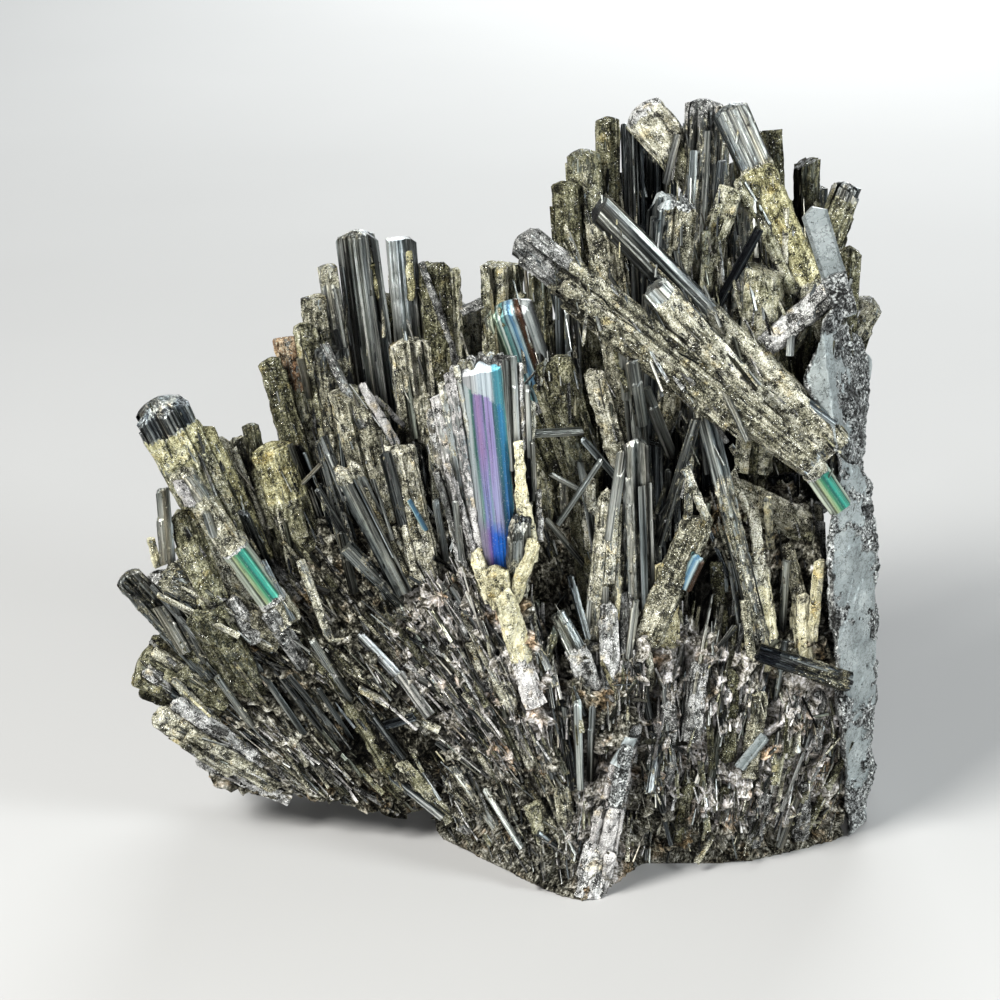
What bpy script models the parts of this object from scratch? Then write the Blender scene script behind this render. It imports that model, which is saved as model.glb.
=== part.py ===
"""Stibnite crystal spray: a clump of long striated prisms standing on the massive,
fine grained stibnite that they grew from, cut flat underneath so that it rests.

The front view is laid out on a square sheet of 1000 x 1000 divisions, 135 mm wide,
u to the right and v down.  The sheet is looked at squarely from an eye 450 mm in
front of it and 20 degrees above level, so a piece is placed by where it shows on
the sheet (u, v) and by y, its true depth in millimetres behind the front toe.
"""
import math

import bmesh
import bpy
from mathutils import Matrix, Vector

# ---------------------------------------------------------------- driving sizes
MM = 0.001
DIV = 0.135            # mm, one division of the layout sheet
EYE = 450.0            # mm, eye to sheet
LEAN = math.radians(20.0)
TOE = (585.0, 903.0)   # where the front toe touches the ground on the sheet
GAP = 0.32             # mm, left between pieces that touch
ORIGIN = (22.0, 27.0)  # mm, x and y of the part's origin in layout millimetres

CL, SL = math.cos(LEAN), math.sin(LEAN)
O_Y = (TOE[1] - 500.0) * DIV * SL
O_Z = (TOE[1] - 500.0) * DIV * CL


def W(x, y, z):
    """A point in layout millimetres: x right, y back from the toe, z up."""
    return Vector((x, y, z))


def P(u, v, y):
    """The point that shows at (u, v) on the sheet and lies y mm behind the toe."""
    a, h = (u - 500.0) * DIV, (500.0 - v) * DIV
    d = (y - O_Y - h * SL) / (CL + h * SL / EYE)
    k = 1.0 + d / EYE
    return Vector((a * k, y, O_Z + h * k * CL - d * SL))


def G(u, v):
    """The point of the ground that shows at (u, v)."""
    a, h = (u - 500.0) * DIV, (500.0 - v) * DIV
    d = (O_Z + h * CL) / (SL - h * CL / EYE)
    k = 1.0 + d / EYE
    return Vector((a * k, O_Y + h * k * SL + d * CL, 0.0))


# view direction of the eye, used to lay the wide face of a blade towards the front
VIEW = Vector((0.0, CL, -SL))

# ------------------------------------------------------- the massive stibnite root
# Each lump is the hull of its corners, and the lumps are grown into one body.
ROOT = {
    "keel": [G(585, 902.5), G(558, 897), G(611, 889), P(600, 850, 1.5), P(612, 790, 1.6), P(624, 735, 2.6),
             P(648, 650, 7), P(640, 585, 11), P(606, 570, 12), P(575, 640, 8), P(552, 770, 4),
             G(640, 866), W(30, 34, 0), W(-2, 34, 0), P(600, 585, 32), P(640, 600, 32), P(560, 700, 30)],
    "toe": [G(575, 901), G(540, 888), G(500, 868.5), G(440, 838), P(560, 800, 4), P(505, 775, 7), P(452, 745, 10),
            P(425, 790, 14), P(560, 700, 8), P(470, 690, 11), W(-12, 46, 0), W(16, 46, 0), P(480, 660, 40), P(560, 660, 40)],
    "middle_fan": [P(566, 782, 2.6), P(562, 690, 4.4), P(528, 610, 6.5), P(480, 566, 8.5), P(425, 582, 11.5), P(392, 630, 12.5),
                   P(396, 690, 13), P(440, 750, 9.5), P(510, 785, 5.5), P(420, 590, 38), P(530, 580, 38), P(560, 700, 30), P(440, 700, 34)],
    "left_body": [P(352, 640, 14), P(290, 616, 15.5), P(235, 640, 15.5), P(186, 678, 17), P(172, 700, 19), P(206, 748, 18),
                  P(214, 783, 21), P(262, 802, 19), P(300, 808, 18), P(360, 812, 17), P(402, 817, 18), P(440, 800, 15), P(446, 750, 13), P(430, 690, 13),
                  P(205, 735, 40), P(250, 660, 46), P(390, 640, 48), W(-14, 50, 3), W(-30, 44, 6)],
    "right_body": [G(640, 865), G(700, 859), G(745, 863), G(800, 851), G(845, 838), P(852, 790, 20), P(850, 690, 16), P(820, 640, 15),
                   P(770, 655, 10.5), P(720, 640, 11), P(664, 618, 10), P(636, 700, 5.5), P(655, 800, 8.5), P(745, 800, 10),
                   W(47, 48, 0), W(48, 50, 28), W(22, 56, 0), W(22, 57, 30), W(-8, 54, 0), W(-8, 55, 30)],
    "left_ridge": [P(306, 478, 27), P(350, 520, 25), P(400, 512, 22), P(452, 520, 17), P(446, 650, 13), P(330, 665, 16), P(262, 600, 19),
                   P(280, 540, 23), P(330, 488, 47), P(430, 480, 50), P(450, 600, 50), P(280, 600, 44)],
    "back_ridge": [P(470, 540, 22), P(560, 520, 25), P(640, 505, 24), P(710, 500, 25), P(790, 480, 23), P(822, 520, 20), P(820, 640, 17),
                   P(640, 620, 18), P(470, 620, 17), P(490, 520, 52), P(640, 486, 57), P(790, 475, 52), P(815, 600, 52), P(480, 610, 54)],
}
# Ribs of fibrous stibnite that stand out of the root, fanning out from its foot.
RIBS = [((166, 706, 15.5), (330, 800, 15), 26, 30, 0.8, 0, 0.06), ((200, 742, 16.5), (372, 806, 14), 24, 26, 0.8, 20, 0.06),
        ((232, 668, 13.5), (330, 786, 13.5), 24, 26, 0.8, 0, 0.06), ((268, 640, 13), (362, 786, 12.5), 26, 26, 0.8, 15, 0.06),
        ((306, 620, 13), (396, 770, 11.5), 24, 28, 0.8, 0, 0.06), ((344, 632, 12), (410, 726, 10.5), 26, 26, 0.8, 20, 0.06),
        ((398, 612, 11), (470, 730, 8), 28, 26, 0.8, 0, 0.05), ((432, 584, 9.5), (500, 742, 6), 28, 26, 0.8, 10, 0.05),
        ((468, 572, 7.5), (530, 760, 4.2), 28, 26, 0.8, 0, 0.05), ((512, 600, 5.5), (556, 776, 2.6), 30, 22, 0.8, 15, 0.05),
        ((404, 680, 11.5), (500, 768, 6.5), 24, 24, 0.8, 0, 0.05), ((446, 742, 8.5), (520, 850, 5.5), 24, 22, 0.8, 0, 0.05),
        ((486, 782, 6.8), (548, 884, 3.6), 24, 20, 0.8, 0, 0.05), ((576, 640, 6), (590, 760, 3), 22, 24, 0.8, 20, 0.05),
        ((640, 640, 7.4), (604, 884, 1.4), 26, 20, 0.9, 10, 0.03), ((672, 688, 7.6), (624, 862, 4.2), 28, 24, 0.8, 0, 0.05),
        ((708, 664, 10.6), (648, 852, 6.6), 30, 26, 0.8, 20, 0.05), ((752, 680, 11.4), (676, 852, 8.6), 32, 26, 0.8, 0, 0.05),
        ((796, 700, 12.2), (708, 846, 10.6), 32, 28, 0.8, 10, 0.05), ((826, 748, 14), (744, 848, 12.6), 30, 28, 0.8, 0, 0.05),
        # the same on the far side
        (W(-22, 57, 46), W(-8, 51, 8), 46, 42, 0.8, 0, 0.06), (W(-12, 59, 42), W(2, 52, 4), 44, 42, 0.8, 20, 0.06),
        (W(-3, 61, 52), W(8, 53, 3), 48, 42, 0.8, 0, 0.06), (W(8, 62, 40), W(13, 54, 2), 44, 44, 0.8, 10, 0.06),
        (W(17, 63, 54), W(18, 54, 2), 48, 46, 0.8, 0, 0.06), (W(28, 62, 44), W(24, 54, 2), 46, 44, 0.8, 20, 0.06),
        (W(38, 60, 53), W(30, 53, 2), 46, 44, 0.8, 0, 0.06), (W(46, 57, 42), W(37, 51, 2), 42, 40, 0.8, 10, 0.06),
        (W(-33, 53, 38), W(-14, 49, 8), 44, 42, 0.8, 0, 0.06), (W(-41, 49, 30), W(-18, 48, 6), 42, 40, 0.8, 20, 0.06),
        (W(-46, 43, 21), W(-21, 45, 4), 40, 36, 0.8, 0, 0.06)]
# The cleaved plate that walls the right side, one big crystal mass.
WALL = {
    "plate": [P(836, 470, 11), P(860, 459, 15), P(876, 480, 17), P(875, 520, 17), P(880, 610, 18), P(883, 680, 20), P(878, 745, 21),
              P(875, 790, 23), G(868, 820), G(848, 838), P(846, 740, 13), P(838, 640, 9.5), P(828, 560, 9),
              P(850, 480, 46), P(870, 600, 52), W(50, 52, 30), W(51, 52, 0)],
    "shoulder": [P(838, 300, 15), P(860, 352, 22), P(877, 358, 26), P(868, 402, 24), P(864, 470, 20), P(846, 480, 12), P(836, 440, 11),
                 P(806, 380, 13.5), P(822, 322, 12.5), P(846, 330, 44), P(866, 380, 46), P(856, 480, 46), P(822, 470, 34)],
}

# --------------------------------------------------------------------- crystals
# (tip, foot, width at tip, width at foot, thickness share, roll in degrees, cap share)
# widths in sheet divisions; a node with several prisms is one grown-together solid.
CRYSTALS = {
    # centre
    "iridescent_blade": [((484, 358, 5.0), (503, 640, 8.0), 92, 44, 0.42, 0, 0.09),
                         ((523, 520, 3.6), (529, 640, 6.5), 28, 24, 0.8, 10, 0.1)],
    "iridescent_companion": [((507, 300, 19), (566, 470, 23), 58, 50, 0.6, 12, 0.12)],
    "coated_companion": [((549, 358, 16), (600, 520, 21), 46, 40, 0.7, -8, 0.1)],
    "coated_rod_centre": [((594, 370, 13), (637, 520, 17), 25, 24, 0.8, 20, 0.07)],
    # right of centre
    "flat_topped_rod": [((630, 360, 12), (650, 560, 15), 22, 26, 0.9, 5, 0.03)],
    "silver_rod": [((636, 438, 7.5), (642, 640, 10), 28, 32, 0.7, 0, 0.1)],
    "trunk_column": [((612, 486, 9.5), (600, 640, 10), 30, 40, 0.8, 15, 0.06)],
    "long_blade": [((700, 398, 9), (764, 650, 12), 24, 17, 0.45, 0, 0.05)],
    "tan_leaning_rod": [((700, 517, 7.5), (646, 640, 9), 29, 32, 0.75, 0, 0.03)],
    "centre_bundle": [((582, 470, 18), (600, 620, 17.5), 36, 40, 0.8, 0, 0.05), ((612, 446, 19.5), (622, 620, 19), 36, 40, 0.8, 20, 0.05),
                      ((646, 436, 21), (652, 620, 20.5), 38, 40, 0.8, 0, 0.05), ((678, 426, 22), (680, 620, 21), 36, 38, 0.8, 10, 0.05)],
    "recess_block": [((752, 548, 14), (764, 668, 13), 30, 32, 0.8, 12, 0.04)],
    "recess_column": [((800, 590, 16), (804, 668, 15), 25, 26, 0.8, -10, 0.05)],
    "recess_bundle": [((722, 420, 25), (718, 630, 23), 38, 38, 0.8, 0, 0.05), ((752, 452, 26), (750, 630, 24), 38, 38, 0.8, 15, 0.05),
                      ((782, 470, 26), (780, 630, 24), 38, 38, 0.8, 0, 0.05), ((808, 500, 25), (806, 630, 23), 34, 36, 0.8, 10, 0.05)],
    "dark_lying_rod": [((757, 652, 7), (850, 683, 9.5), 19, 22, 0.8, 0, 0.04)],
    # the crystals that lean up to the left from the right wall
    "diagonal_long": [((517, 237, 6), (812, 462, 9), 40, 34, 0.85, 0, 0.08),
                      ((557, 284, 4), (742, 428, 7.5), 30, 26, 0.8, 15, 0.06)],
    "diagonal_steel": [((597, 204, 12), (836, 446, 14), 28, 36, 0.85, 20, 0.04)],
    "diagonal_short": [((650, 283, 7.5), (756, 402, 9.5), 32, 34, 0.8, 0, 0.05)],
    # upper right crown
    "crown_dome": [((704, 98, 33), (682, 520, 31), 46, 38, 0.8, 0, 0.05)],
    "crown_yellow": [((727, 103, 30), (838, 348, 24), 38, 30, 0.75, 8, 0.07)],
    "crown_broken": [((673, 190, 20), (652, 500, 25), 46, 36, 0.8, 0, 0.02),
                     ((732, 186, 24), (676, 360, 24), 26, 28, 0.8, 0, 0.05)],
    "crown_slanting_block": [((637, 105, 36), (700, 180, 34.5), 46, 42, 0.8, 0, 0.12)],
    "crown_dark": [((630, 122, 41), (642, 520, 37), 26, 30, 0.9, 20, 0.03)],
    "crown_left_column": [((608, 116, 38), (612, 520, 36), 26, 30, 0.85, 0, 0.04)],
    "crown_left_pair": [((583, 148, 35), (594, 520, 33), 38, 34, 0.8, 0, 0.05),
                        ((565, 180, 32), (582, 520, 31), 30, 28, 0.8, 10, 0.06)],
    "crown_cream": [((602, 216, 24), (640, 520, 26), 36, 30, 0.75, 0, 0.06)],
    "crown_right_column": [((769, 129, 38), (786, 480, 33), 30, 30, 0.85, 0, 0.04)],
    "crown_right_olive": [((806, 158, 40), (800, 480, 36), 36, 34, 0.8, 0, 0.06)],
    "crown_outlier": [((850, 181, 34), (806, 300, 31), 34, 32, 0.8, 0, 0.05)],
    "cleaved_slab": [((812, 206, 18), (846, 318, 17), 29, 26, 0.5, 0, 0.06)],
    "crown_block": [((764, 266, 22), (752, 470, 22), 42, 40, 0.85, 15, 0.03)],
    "right_stub": [((872, 298, 26), (836, 362, 27), 38, 34, 0.8, 0, 0.12),
                   ((850, 246, 24), (842, 350, 25), 24, 28, 0.8, 0, 0.12)],
    "crown_rear_bundle": [((596, 192, 43.5), (602, 500, 42), 42, 42, 0.8, 0, 0.05), ((630, 168, 46), (634, 500, 44), 44, 44, 0.8, 15, 0.06),
                          ((668, 204, 48), (668, 500, 45), 48, 46, 0.8, 0, 0.05), ((708, 134, 46), (702, 500, 43.5), 46, 44, 0.8, 10, 0.06),
                          ((748, 156, 48), (738, 500, 45), 44, 46, 0.8, 0, 0.05), ((784, 196, 46), (774, 500, 43), 46, 44, 0.8, 15, 0.06),
                          ((814, 182, 45), (806, 500, 42), 38, 40, 0.8, 0, 0.05)],
    # back left group
    "back_left_tall": [((356, 229, 37), (392, 500, 34), 48, 50, 0.75, 0, 0.10),
                       ((326, 262, 36), (366, 500, 33.5), 24, 26, 0.9, 0, 0.07)],
    "back_left_square": [((401, 237, 42), (424, 500, 38), 32, 32, 0.85, 0, 0.02)],
    "back_left_olive": [((434, 259, 40), (448, 500, 36), 34, 34, 0.8, 0, 0.05),
                        ((450, 267, 40), (461, 500, 37), 20, 24, 0.9, 0, 0.05)],
    "back_centre": [((504, 262, 37), (512, 540, 33), 50, 46, 0.8, 0, 0.05)],
    "back_centre_column": [((541, 268, 34), (552, 540, 31), 26, 30, 0.85, 0, 0.05),
                           ((567, 274, 27), (574, 540, 28), 28, 28, 0.8, 0, 0.04)],
    "left_rear_bundle": [((306, 346, 37), (346, 500, 36), 42, 44, 0.8, 0, 0.06), ((338, 316, 43), (376, 500, 40.5), 42, 44, 0.8, 15, 0.06),
                         ((384, 290, 47), (410, 500, 43), 44, 46, 0.8, 0, 0.05), ((422, 284, 48), (442, 500, 44), 44, 44, 0.8, 10, 0.06),
                         ((462, 300, 47), (474, 510, 43.5), 44, 44, 0.8, 0, 0.05), ((500, 304, 45), (508, 520, 42), 42, 44, 0.8, 15, 0.06),
                         ((536, 312, 43), (544, 520, 41), 42, 44, 0.8, 0, 0.05)],
    "left_shoulder_group": [((312, 295, 33), (340, 500, 31), 28, 28, 0.85, 0, 0.05),
                            ((303, 322, 29), (334, 500, 29), 26, 28, 0.85, 0, 0.08),
                            ((284, 336, 30), (322, 510, 28), 28, 28, 0.8, 0, 0.06),
                            ((270, 357, 27), (312, 510, 26), 26, 28, 0.8, 0, 0.08)],
    "left_flat_block": [((332, 347, 27), (348, 510, 26), 40, 38, 0.8, 0, 0.03)],
    "middle_rounded_block": [((408, 336, 29), (426, 500, 27), 48, 44, 0.8, 0, 0.08)],
    "tilted_top_block": [((356, 388, 22), (386, 520, 22), 58, 50, 0.7, 0, 0.05)],
    # left
    "left_tip_crystal": [((154, 399, 15), (254, 590, 21), 66, 52, 0.75, 0, 0.12)],
    "left_slender_crystal": [((176, 470, 9.5), (288, 622, 13), 28, 30, 0.8, 0, 0.05)],
    "left_bundle": [((268, 442, 22), (312, 580, 22.5), 50, 46, 0.8, 0, 0.06), ((190, 514, 22.5), (262, 622, 24), 48, 54, 0.7, 0, 0.1),
                    ((172, 560, 20.5), (244, 640, 23), 42, 52, 0.7, 0, 0.1), ((249, 423, 24), (286, 580, 24), 18, 24, 0.9, 0, 0.08),
                    ((214, 434, 21.5), (270, 580, 22.5), 32, 34, 0.8, 10, 0.06), ((232, 436, 24.5), (290, 580, 25), 26, 30, 0.8, 0, 0.06),
                    ((292, 444, 25), (340, 580, 24.5), 22, 34, 0.8, 0, 0.06)],
    "left_prong": [((124, 574, 13), (214, 672, 17), 33, 32, 0.8, 0, 0.1)],
    "left_coated_prong": [((158, 572, 11), (280, 640, 14.5), 34, 34, 0.75, 0, 0.08)],
    "left_round_crust": [((140, 656, 15), (222, 704, 19), 60, 44, 0.7, 0, 0.2)],
    "left_lower_rod": [((153, 713, 14), (236, 764, 18), 30, 34, 0.8, 0, 0.08)],
    "striated_rod_left": [((344, 462, 13), (408, 590, 15), 34, 30, 0.7, 0, 0.06)],
    "grey_rod_left": [((318, 440, 18), (352, 560, 18.5), 20, 22, 0.8, 0, 0.08)],
    "dull_column": [((396, 440, 16), (426, 580, 15), 36, 36, 0.8, 0, 0.06)],
    "tangle_bundle": [((330, 476, 23.5), (366, 600, 22), 40, 40, 0.8, 0, 0.05), ((368, 450, 24), (396, 600, 22), 40, 42, 0.8, 15, 0.06),
                      ((408, 440, 24), (430, 600, 22), 42, 42, 0.8, 0, 0.05), ((442, 430, 22.5), (456, 600, 20), 36, 38, 0.8, 10, 0.06)],
    # behind
    "rear_crystal_a": [(W(-25, 64, 54), W(-12, 46, 20), 60, 50, 0.8, 20, 0.08)],
    "rear_crystal_b": [(W(2, 68, 66), W(5, 48, 20), 54, 54, 0.8, 10, 0.06)],
    "rear_crystal_c": [(W(22, 70, 74), W(18, 49, 20), 66, 56, 0.7, 0, 0.08)],
    "rear_crystal_d": [(W(45, 66, 64), W(35, 48, 20), 54, 54, 0.8, 15, 0.06)],
    "rear_fan": [(W(-14, 66, 47), W(-4, 50, 16), 56, 60, 0.8, 0, 0.08), (W(12, 71, 50), W(9, 51, 14), 58, 62, 0.8, 15, 0.08),
                 (W(33, 69, 48), W(26, 51, 14), 56, 60, 0.8, 0, 0.08), (W(0, 68, 36), W(3, 51, 10), 60, 66, 0.8, 0, 0.08),
                 (W(24, 68, 34), W(18, 52, 10), 60, 66, 0.8, 10, 0.08)],
}


# ------------------------------------------------------------------ solid making
def link(name, bm):
    me = bpy.data.meshes.new(name)
    bmesh.ops.recalc_face_normals(bm, faces=bm.faces)
    bm.to_mesh(me)
    bm.free()
    ob = bpy.data.objects.new(name, me)
    bpy.context.scene.collection.objects.link(ob)
    return ob


def hull(name, points, grow=0.0):
    """The hull of the points, its faces moved out by grow millimetres."""
    bm = bmesh.new()
    for p in points:
        bm.verts.new(p * MM)
    got = bmesh.ops.convex_hull(bm, input=bm.verts)
    loose = [g for g in got["geom_interior"] + got["geom_unused"] if isinstance(g, bmesh.types.BMVert)]
    bmesh.ops.delete(bm, geom=list(set(loose)), context="VERTS")
    bmesh.ops.recalc_face_normals(bm, faces=bm.faces)
    if grow:
        bm.normal_update()
        for v, n in [(v, v.normal.copy()) for v in bm.verts]:
            share = min((f.normal.dot(n) for f in v.link_faces), default=1.0)
            v.co += n * (grow * MM / max(share, 0.45))
    return link(name, bm)


def prism(name, spec, grow=0.0):
    """A stibnite prism: eight sided, wide face to the front, with a blunt faceted cap."""
    tip, foot, w_tip, w_foot, share, roll, cap = spec
    tip = P(*tip) if isinstance(tip, tuple) else tip
    foot = P(*foot) if isinstance(foot, tuple) else foot
    axis = (tip - foot).normalized()
    side = axis.cross(VIEW).normalized()
    face = side.cross(axis).normalized()
    r = math.radians(roll)
    side, face = side * math.cos(r) + face * math.sin(r), face * math.cos(r) - side * math.sin(r)
    length = (tip - foot).length
    # outline of the cross-section, in half widths: {110} sides, narrow {010} edges
    outline = [(1.0, 0.28), (0.62, 0.86), (-0.05, 1.0), (-0.68, 0.80),
               (-1.0, 0.22), (-0.9, -0.55), (-0.1, -1.0), (0.8, -0.66)]
    rings = []
    lean = 0.25 * math.sin(tip.x * 1.7 + tip.z)
    for t, k in ((-grow / length, 1.0), (1.0 - cap, 1.0), (1.0 + grow / length, 0.55)):
        w = (w_foot + (w_tip - w_foot) * min(max(t, 0), 1)) * DIV * 0.5
        c = foot + axis * (length * t)
        ring = []
        for i, (a, b) in enumerate(outline):
            out = side * (a * w * k + (lean * w * (1 - k))) + face * (b * w * share * k)
            if grow:
                out += out.normalized() * grow * 1.12
            ring.append(c + out)
        rings.append(ring)
    bm = bmesh.new()
    for ring in rings:
        for p in ring:
            bm.verts.new(p * MM)
    got = bmesh.ops.convex_hull(bm, input=bm.verts)
    loose = [g for g in got["geom_interior"] + got["geom_unused"] if isinstance(g, bmesh.types.BMVert)]
    bmesh.ops.delete(bm, geom=list(set(loose)), context="VERTS")
    bmesh.ops.dissolve_limit(bm, angle_limit=math.radians(0.5), verts=bm.verts, edges=bm.edges)
    return link(name, bm)


def box_of(ob):
    co = [v.co for v in ob.data.vertices]
    return [min(c[i] for c in co) for i in range(3)], [max(c[i] for c in co) for i in range(3)]


def near(a, b):
    (al, ah), (bl, bh) = box_of(a), box_of(b)
    return all(al[i] < bh[i] and bl[i] < ah[i] for i in range(3))


def combine(target, other, operation):
    mod = target.modifiers.new("join", "BOOLEAN")
    mod.operation = operation
    mod.object = other
    mod.solver = "EXACT"
    graph = bpy.context.evaluated_depsgraph_get()
    me = bpy.data.meshes.new_from_object(target.evaluated_get(graph))
    target.modifiers.clear()
    old = target.data
    target.data = me
    bpy.data.meshes.remove(old)


def drop(ob):
    me = ob.data
    bpy.data.objects.remove(ob)
    bpy.data.meshes.remove(me)


def keep_largest(ob):
    """Leaves the largest closed body of the mesh."""
    bm = bmesh.new()
    bm.from_mesh(ob.data)
    bmesh.ops.remove_doubles(bm, verts=bm.verts, dist=0.00002)
    bmesh.ops.dissolve_degenerate(bm, edges=bm.edges, dist=0.00002)
    todo, groups = set(bm.faces), []
    while todo:
        stack, group = [todo.pop()], []
        while stack:
            f = stack.pop()
            group.append(f)
            for e in f.edges:
                for g in e.link_faces:
                    if g in todo:
                        todo.remove(g)
                        stack.append(g)
        groups.append(group)

    def volume(faces):
        total = 0.0
        for f in faces:
            vs = [l.vert.co for l in f.loops]
            for i in range(1, len(vs) - 1):
                total += vs[0].dot(vs[i].cross(vs[i + 1])) / 6.0
        return total

    groups.sort(key=volume, reverse=True)
    dead = [f for g in groups[1:] for f in g]
    if dead:
        bmesh.ops.delete(bm, geom=dead, context="FACES")
        loose = [v for v in bm.verts if not v.link_faces]
        bmesh.ops.delete(bm, geom=loose, context="VERTS")
    bm.to_mesh(ob.data)
    bm.free()


def material(name, color, roughness, metallic):
    mat = bpy.data.materials.new(name)
    mat.use_nodes = True
    bsdf = mat.node_tree.nodes["Principled BSDF"]
    bsdf.inputs["Base Color"].default_value = (*color, 1.0)
    bsdf.inputs["Roughness"].default_value = roughness
    bsdf.inputs["Metallic"].default_value = metallic
    return mat


def grown(name, lumps, ribs=()):
    """The lumps and ribs joined into one body, cut off flat at the ground."""
    made = [hull(name + "_" + k, pts) for k, pts in lumps.items()]
    made += [prism(f"{name}_rib_{i}", spec) for i, spec in enumerate(ribs)]
    body = made[0]
    for other in made[1:]:
        combine(body, other, "UNION")
        drop(other)
    ground = hull(name + "_ground", [W(x, y, z) for x in (-300, 300) for y in (-300, 300) for z in (-60, 0.0)])
    combine(body, ground, "DIFFERENCE")
    drop(ground)
    body.name = body.data.name = name
    keep_largest(body)
    return body


def main():
    for ob in list(bpy.data.objects):
        bpy.data.objects.remove(ob)
    steel = (0.20, 0.21, 0.23)
    palette = {"root": material("massive_stibnite", (0.20, 0.19, 0.16), 0.6, 0.4),
               "cleaved": material("cleaved_stibnite", (0.42, 0.44, 0.46), 0.35, 0.9),
               "metal": material("stibnite", steel, 0.3, 1.0),
               "coated": material("coated_stibnite", (0.34, 0.31, 0.21), 0.7, 0.2),
               "tarnish": material("iridescent_stibnite", (0.22, 0.30, 0.55), 0.2, 1.0)}
    coated = {"coated_companion", "coated_rod_centre", "trunk_column", "tan_leaning_rod", "recess_block", "recess_column",
              "diagonal_long", "diagonal_short", "crown_yellow", "crown_olive", "crown_slanting_block", "crown_left_column",
              "crown_cream", "crown_right_olive", "crown_block", "right_stub", "back_left_olive",
              "left_shoulder_group", "left_flat_block", "middle_rounded_block", "tilted_top_block", "left_tip_crystal",
              "left_slender_crystal", "left_coated_block", "left_coated_prong", "left_round_crust", "left_lower_rod",
              "left_bottom_rod", "dull_column", "back_centre", "crown_outlier"}

    root = grown("root_mass", ROOT, RIBS)
    root.data.materials.append(palette["root"])
    # cutters: every lump, moved out by the gap
    root_cutters = [hull("cut_" + k, pts, GAP) for k, pts in ROOT.items()]
    root_cutters += [prism(f"cut_root_mass_rib_{i}", spec, GAP) for i, spec in enumerate(RIBS)]
    wall = grown("right_wall", WALL)
    for c in root_cutters:
        if near(wall, c):
            combine(wall, c, "DIFFERENCE")
    keep_largest(wall)
    wall.data.materials.append(palette["cleaved"])
    cutters = root_cutters + [hull("cutw_" + k, pts, GAP) for k, pts in WALL.items()]
    placed = []
    for name, specs in CRYSTALS.items():
        made = [prism(name if i == 0 else f"{name}_{i}", s) for i, s in enumerate(specs)]
        body = made[0]
        for other in made[1:]:
            combine(body, other, "UNION")
            drop(other)
        for c in cutters + placed:
            if near(body, c):
                combine(body, c, "DIFFERENCE")
        body.name = body.data.name = name
        keep_largest(body)
        kind = "coated" if name in coated else "tarnish" if name.startswith("iridescent") else "cleaved" if name == "cleaved_slab" else "metal"
        body.data.materials.clear()
        body.data.materials.append(palette[kind])
        placed += [prism(f"cut_{name}_{i}", s, GAP) for i, s in enumerate(specs)]
    for c in cutters + placed:
        drop(c)
    shift = Vector((-ORIGIN[0], -ORIGIN[1], 0.0)) * MM
    for ob in bpy.data.objects:
        ob.data.transform(Matrix.Translation(shift))


main()
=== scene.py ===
"""Looks of the stibnite spray: striated crystals, coated crystals, needles and the fibrous root."""

import math

import bmesh
import bpy
import numpy as np
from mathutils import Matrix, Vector
from mathutils.bvhtree import BVHTree


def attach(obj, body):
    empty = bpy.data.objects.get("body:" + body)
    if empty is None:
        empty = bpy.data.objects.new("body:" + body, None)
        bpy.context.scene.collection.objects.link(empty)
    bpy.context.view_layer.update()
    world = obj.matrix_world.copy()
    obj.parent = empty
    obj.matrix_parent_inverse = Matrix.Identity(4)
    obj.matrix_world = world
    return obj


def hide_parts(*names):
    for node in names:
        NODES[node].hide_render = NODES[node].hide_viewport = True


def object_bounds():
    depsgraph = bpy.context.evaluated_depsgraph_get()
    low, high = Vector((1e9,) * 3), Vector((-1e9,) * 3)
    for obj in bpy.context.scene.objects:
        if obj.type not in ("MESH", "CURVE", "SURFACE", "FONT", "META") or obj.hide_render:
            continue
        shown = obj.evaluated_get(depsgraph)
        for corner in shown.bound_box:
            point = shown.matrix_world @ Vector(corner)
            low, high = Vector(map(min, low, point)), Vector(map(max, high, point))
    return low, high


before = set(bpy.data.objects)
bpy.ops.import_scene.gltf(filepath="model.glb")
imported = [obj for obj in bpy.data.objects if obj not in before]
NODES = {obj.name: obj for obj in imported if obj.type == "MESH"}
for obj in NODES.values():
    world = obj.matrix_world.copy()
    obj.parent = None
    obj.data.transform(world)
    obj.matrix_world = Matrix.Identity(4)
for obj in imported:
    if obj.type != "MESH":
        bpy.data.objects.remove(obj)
CAD_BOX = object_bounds()

# ------------------------------------------------------------------ layout sheet
# A square sheet of 1000 x 1000 divisions seen squarely from an eye 450 mm away and
# 20 degrees above level; y is the true depth in mm behind the front toe.
DIV, EYE = 0.135, 450.0
LEAN = math.radians(20.0)
CL, SL = math.cos(LEAN), math.sin(LEAN)
O_Y, O_Z = 403.0 * DIV * SL, 403.0 * DIV * CL
SHIFT = np.array([22.0, 27.0, 0.0])      # layout mm to the part's origin
A = lambda *c: np.array(c, dtype=float)
VIEW = A(0.0, CL, -SL)
UPS = A(0.0, SL, CL)
RIGHT = A(1.0, 0.0, 0.0)


def P(u, v, y):
    a, h = (u - 500.0) * DIV, (500.0 - v) * DIV
    d = (y - O_Y - h * SL) / (CL + h * SL / EYE)
    k = 1.0 + d / EYE
    return A(a * k, y, O_Z + h * k * CL - d * SL)


def sheet(p):
    """Sheet position (u, v) and depth along the view of points in layout mm."""
    d = (p[..., 1] - O_Y) * CL - (p[..., 2] - O_Z) * SL
    k = 1.0 + d / EYE
    h = ((p[..., 1] - O_Y) * SL + (p[..., 2] - O_Z) * CL) / k
    return p[..., 0] / k / DIV + 500.0, 500.0 - h / DIV, d


EYE_POS = A(0.0, O_Y, O_Z) - VIEW * EYE


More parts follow.
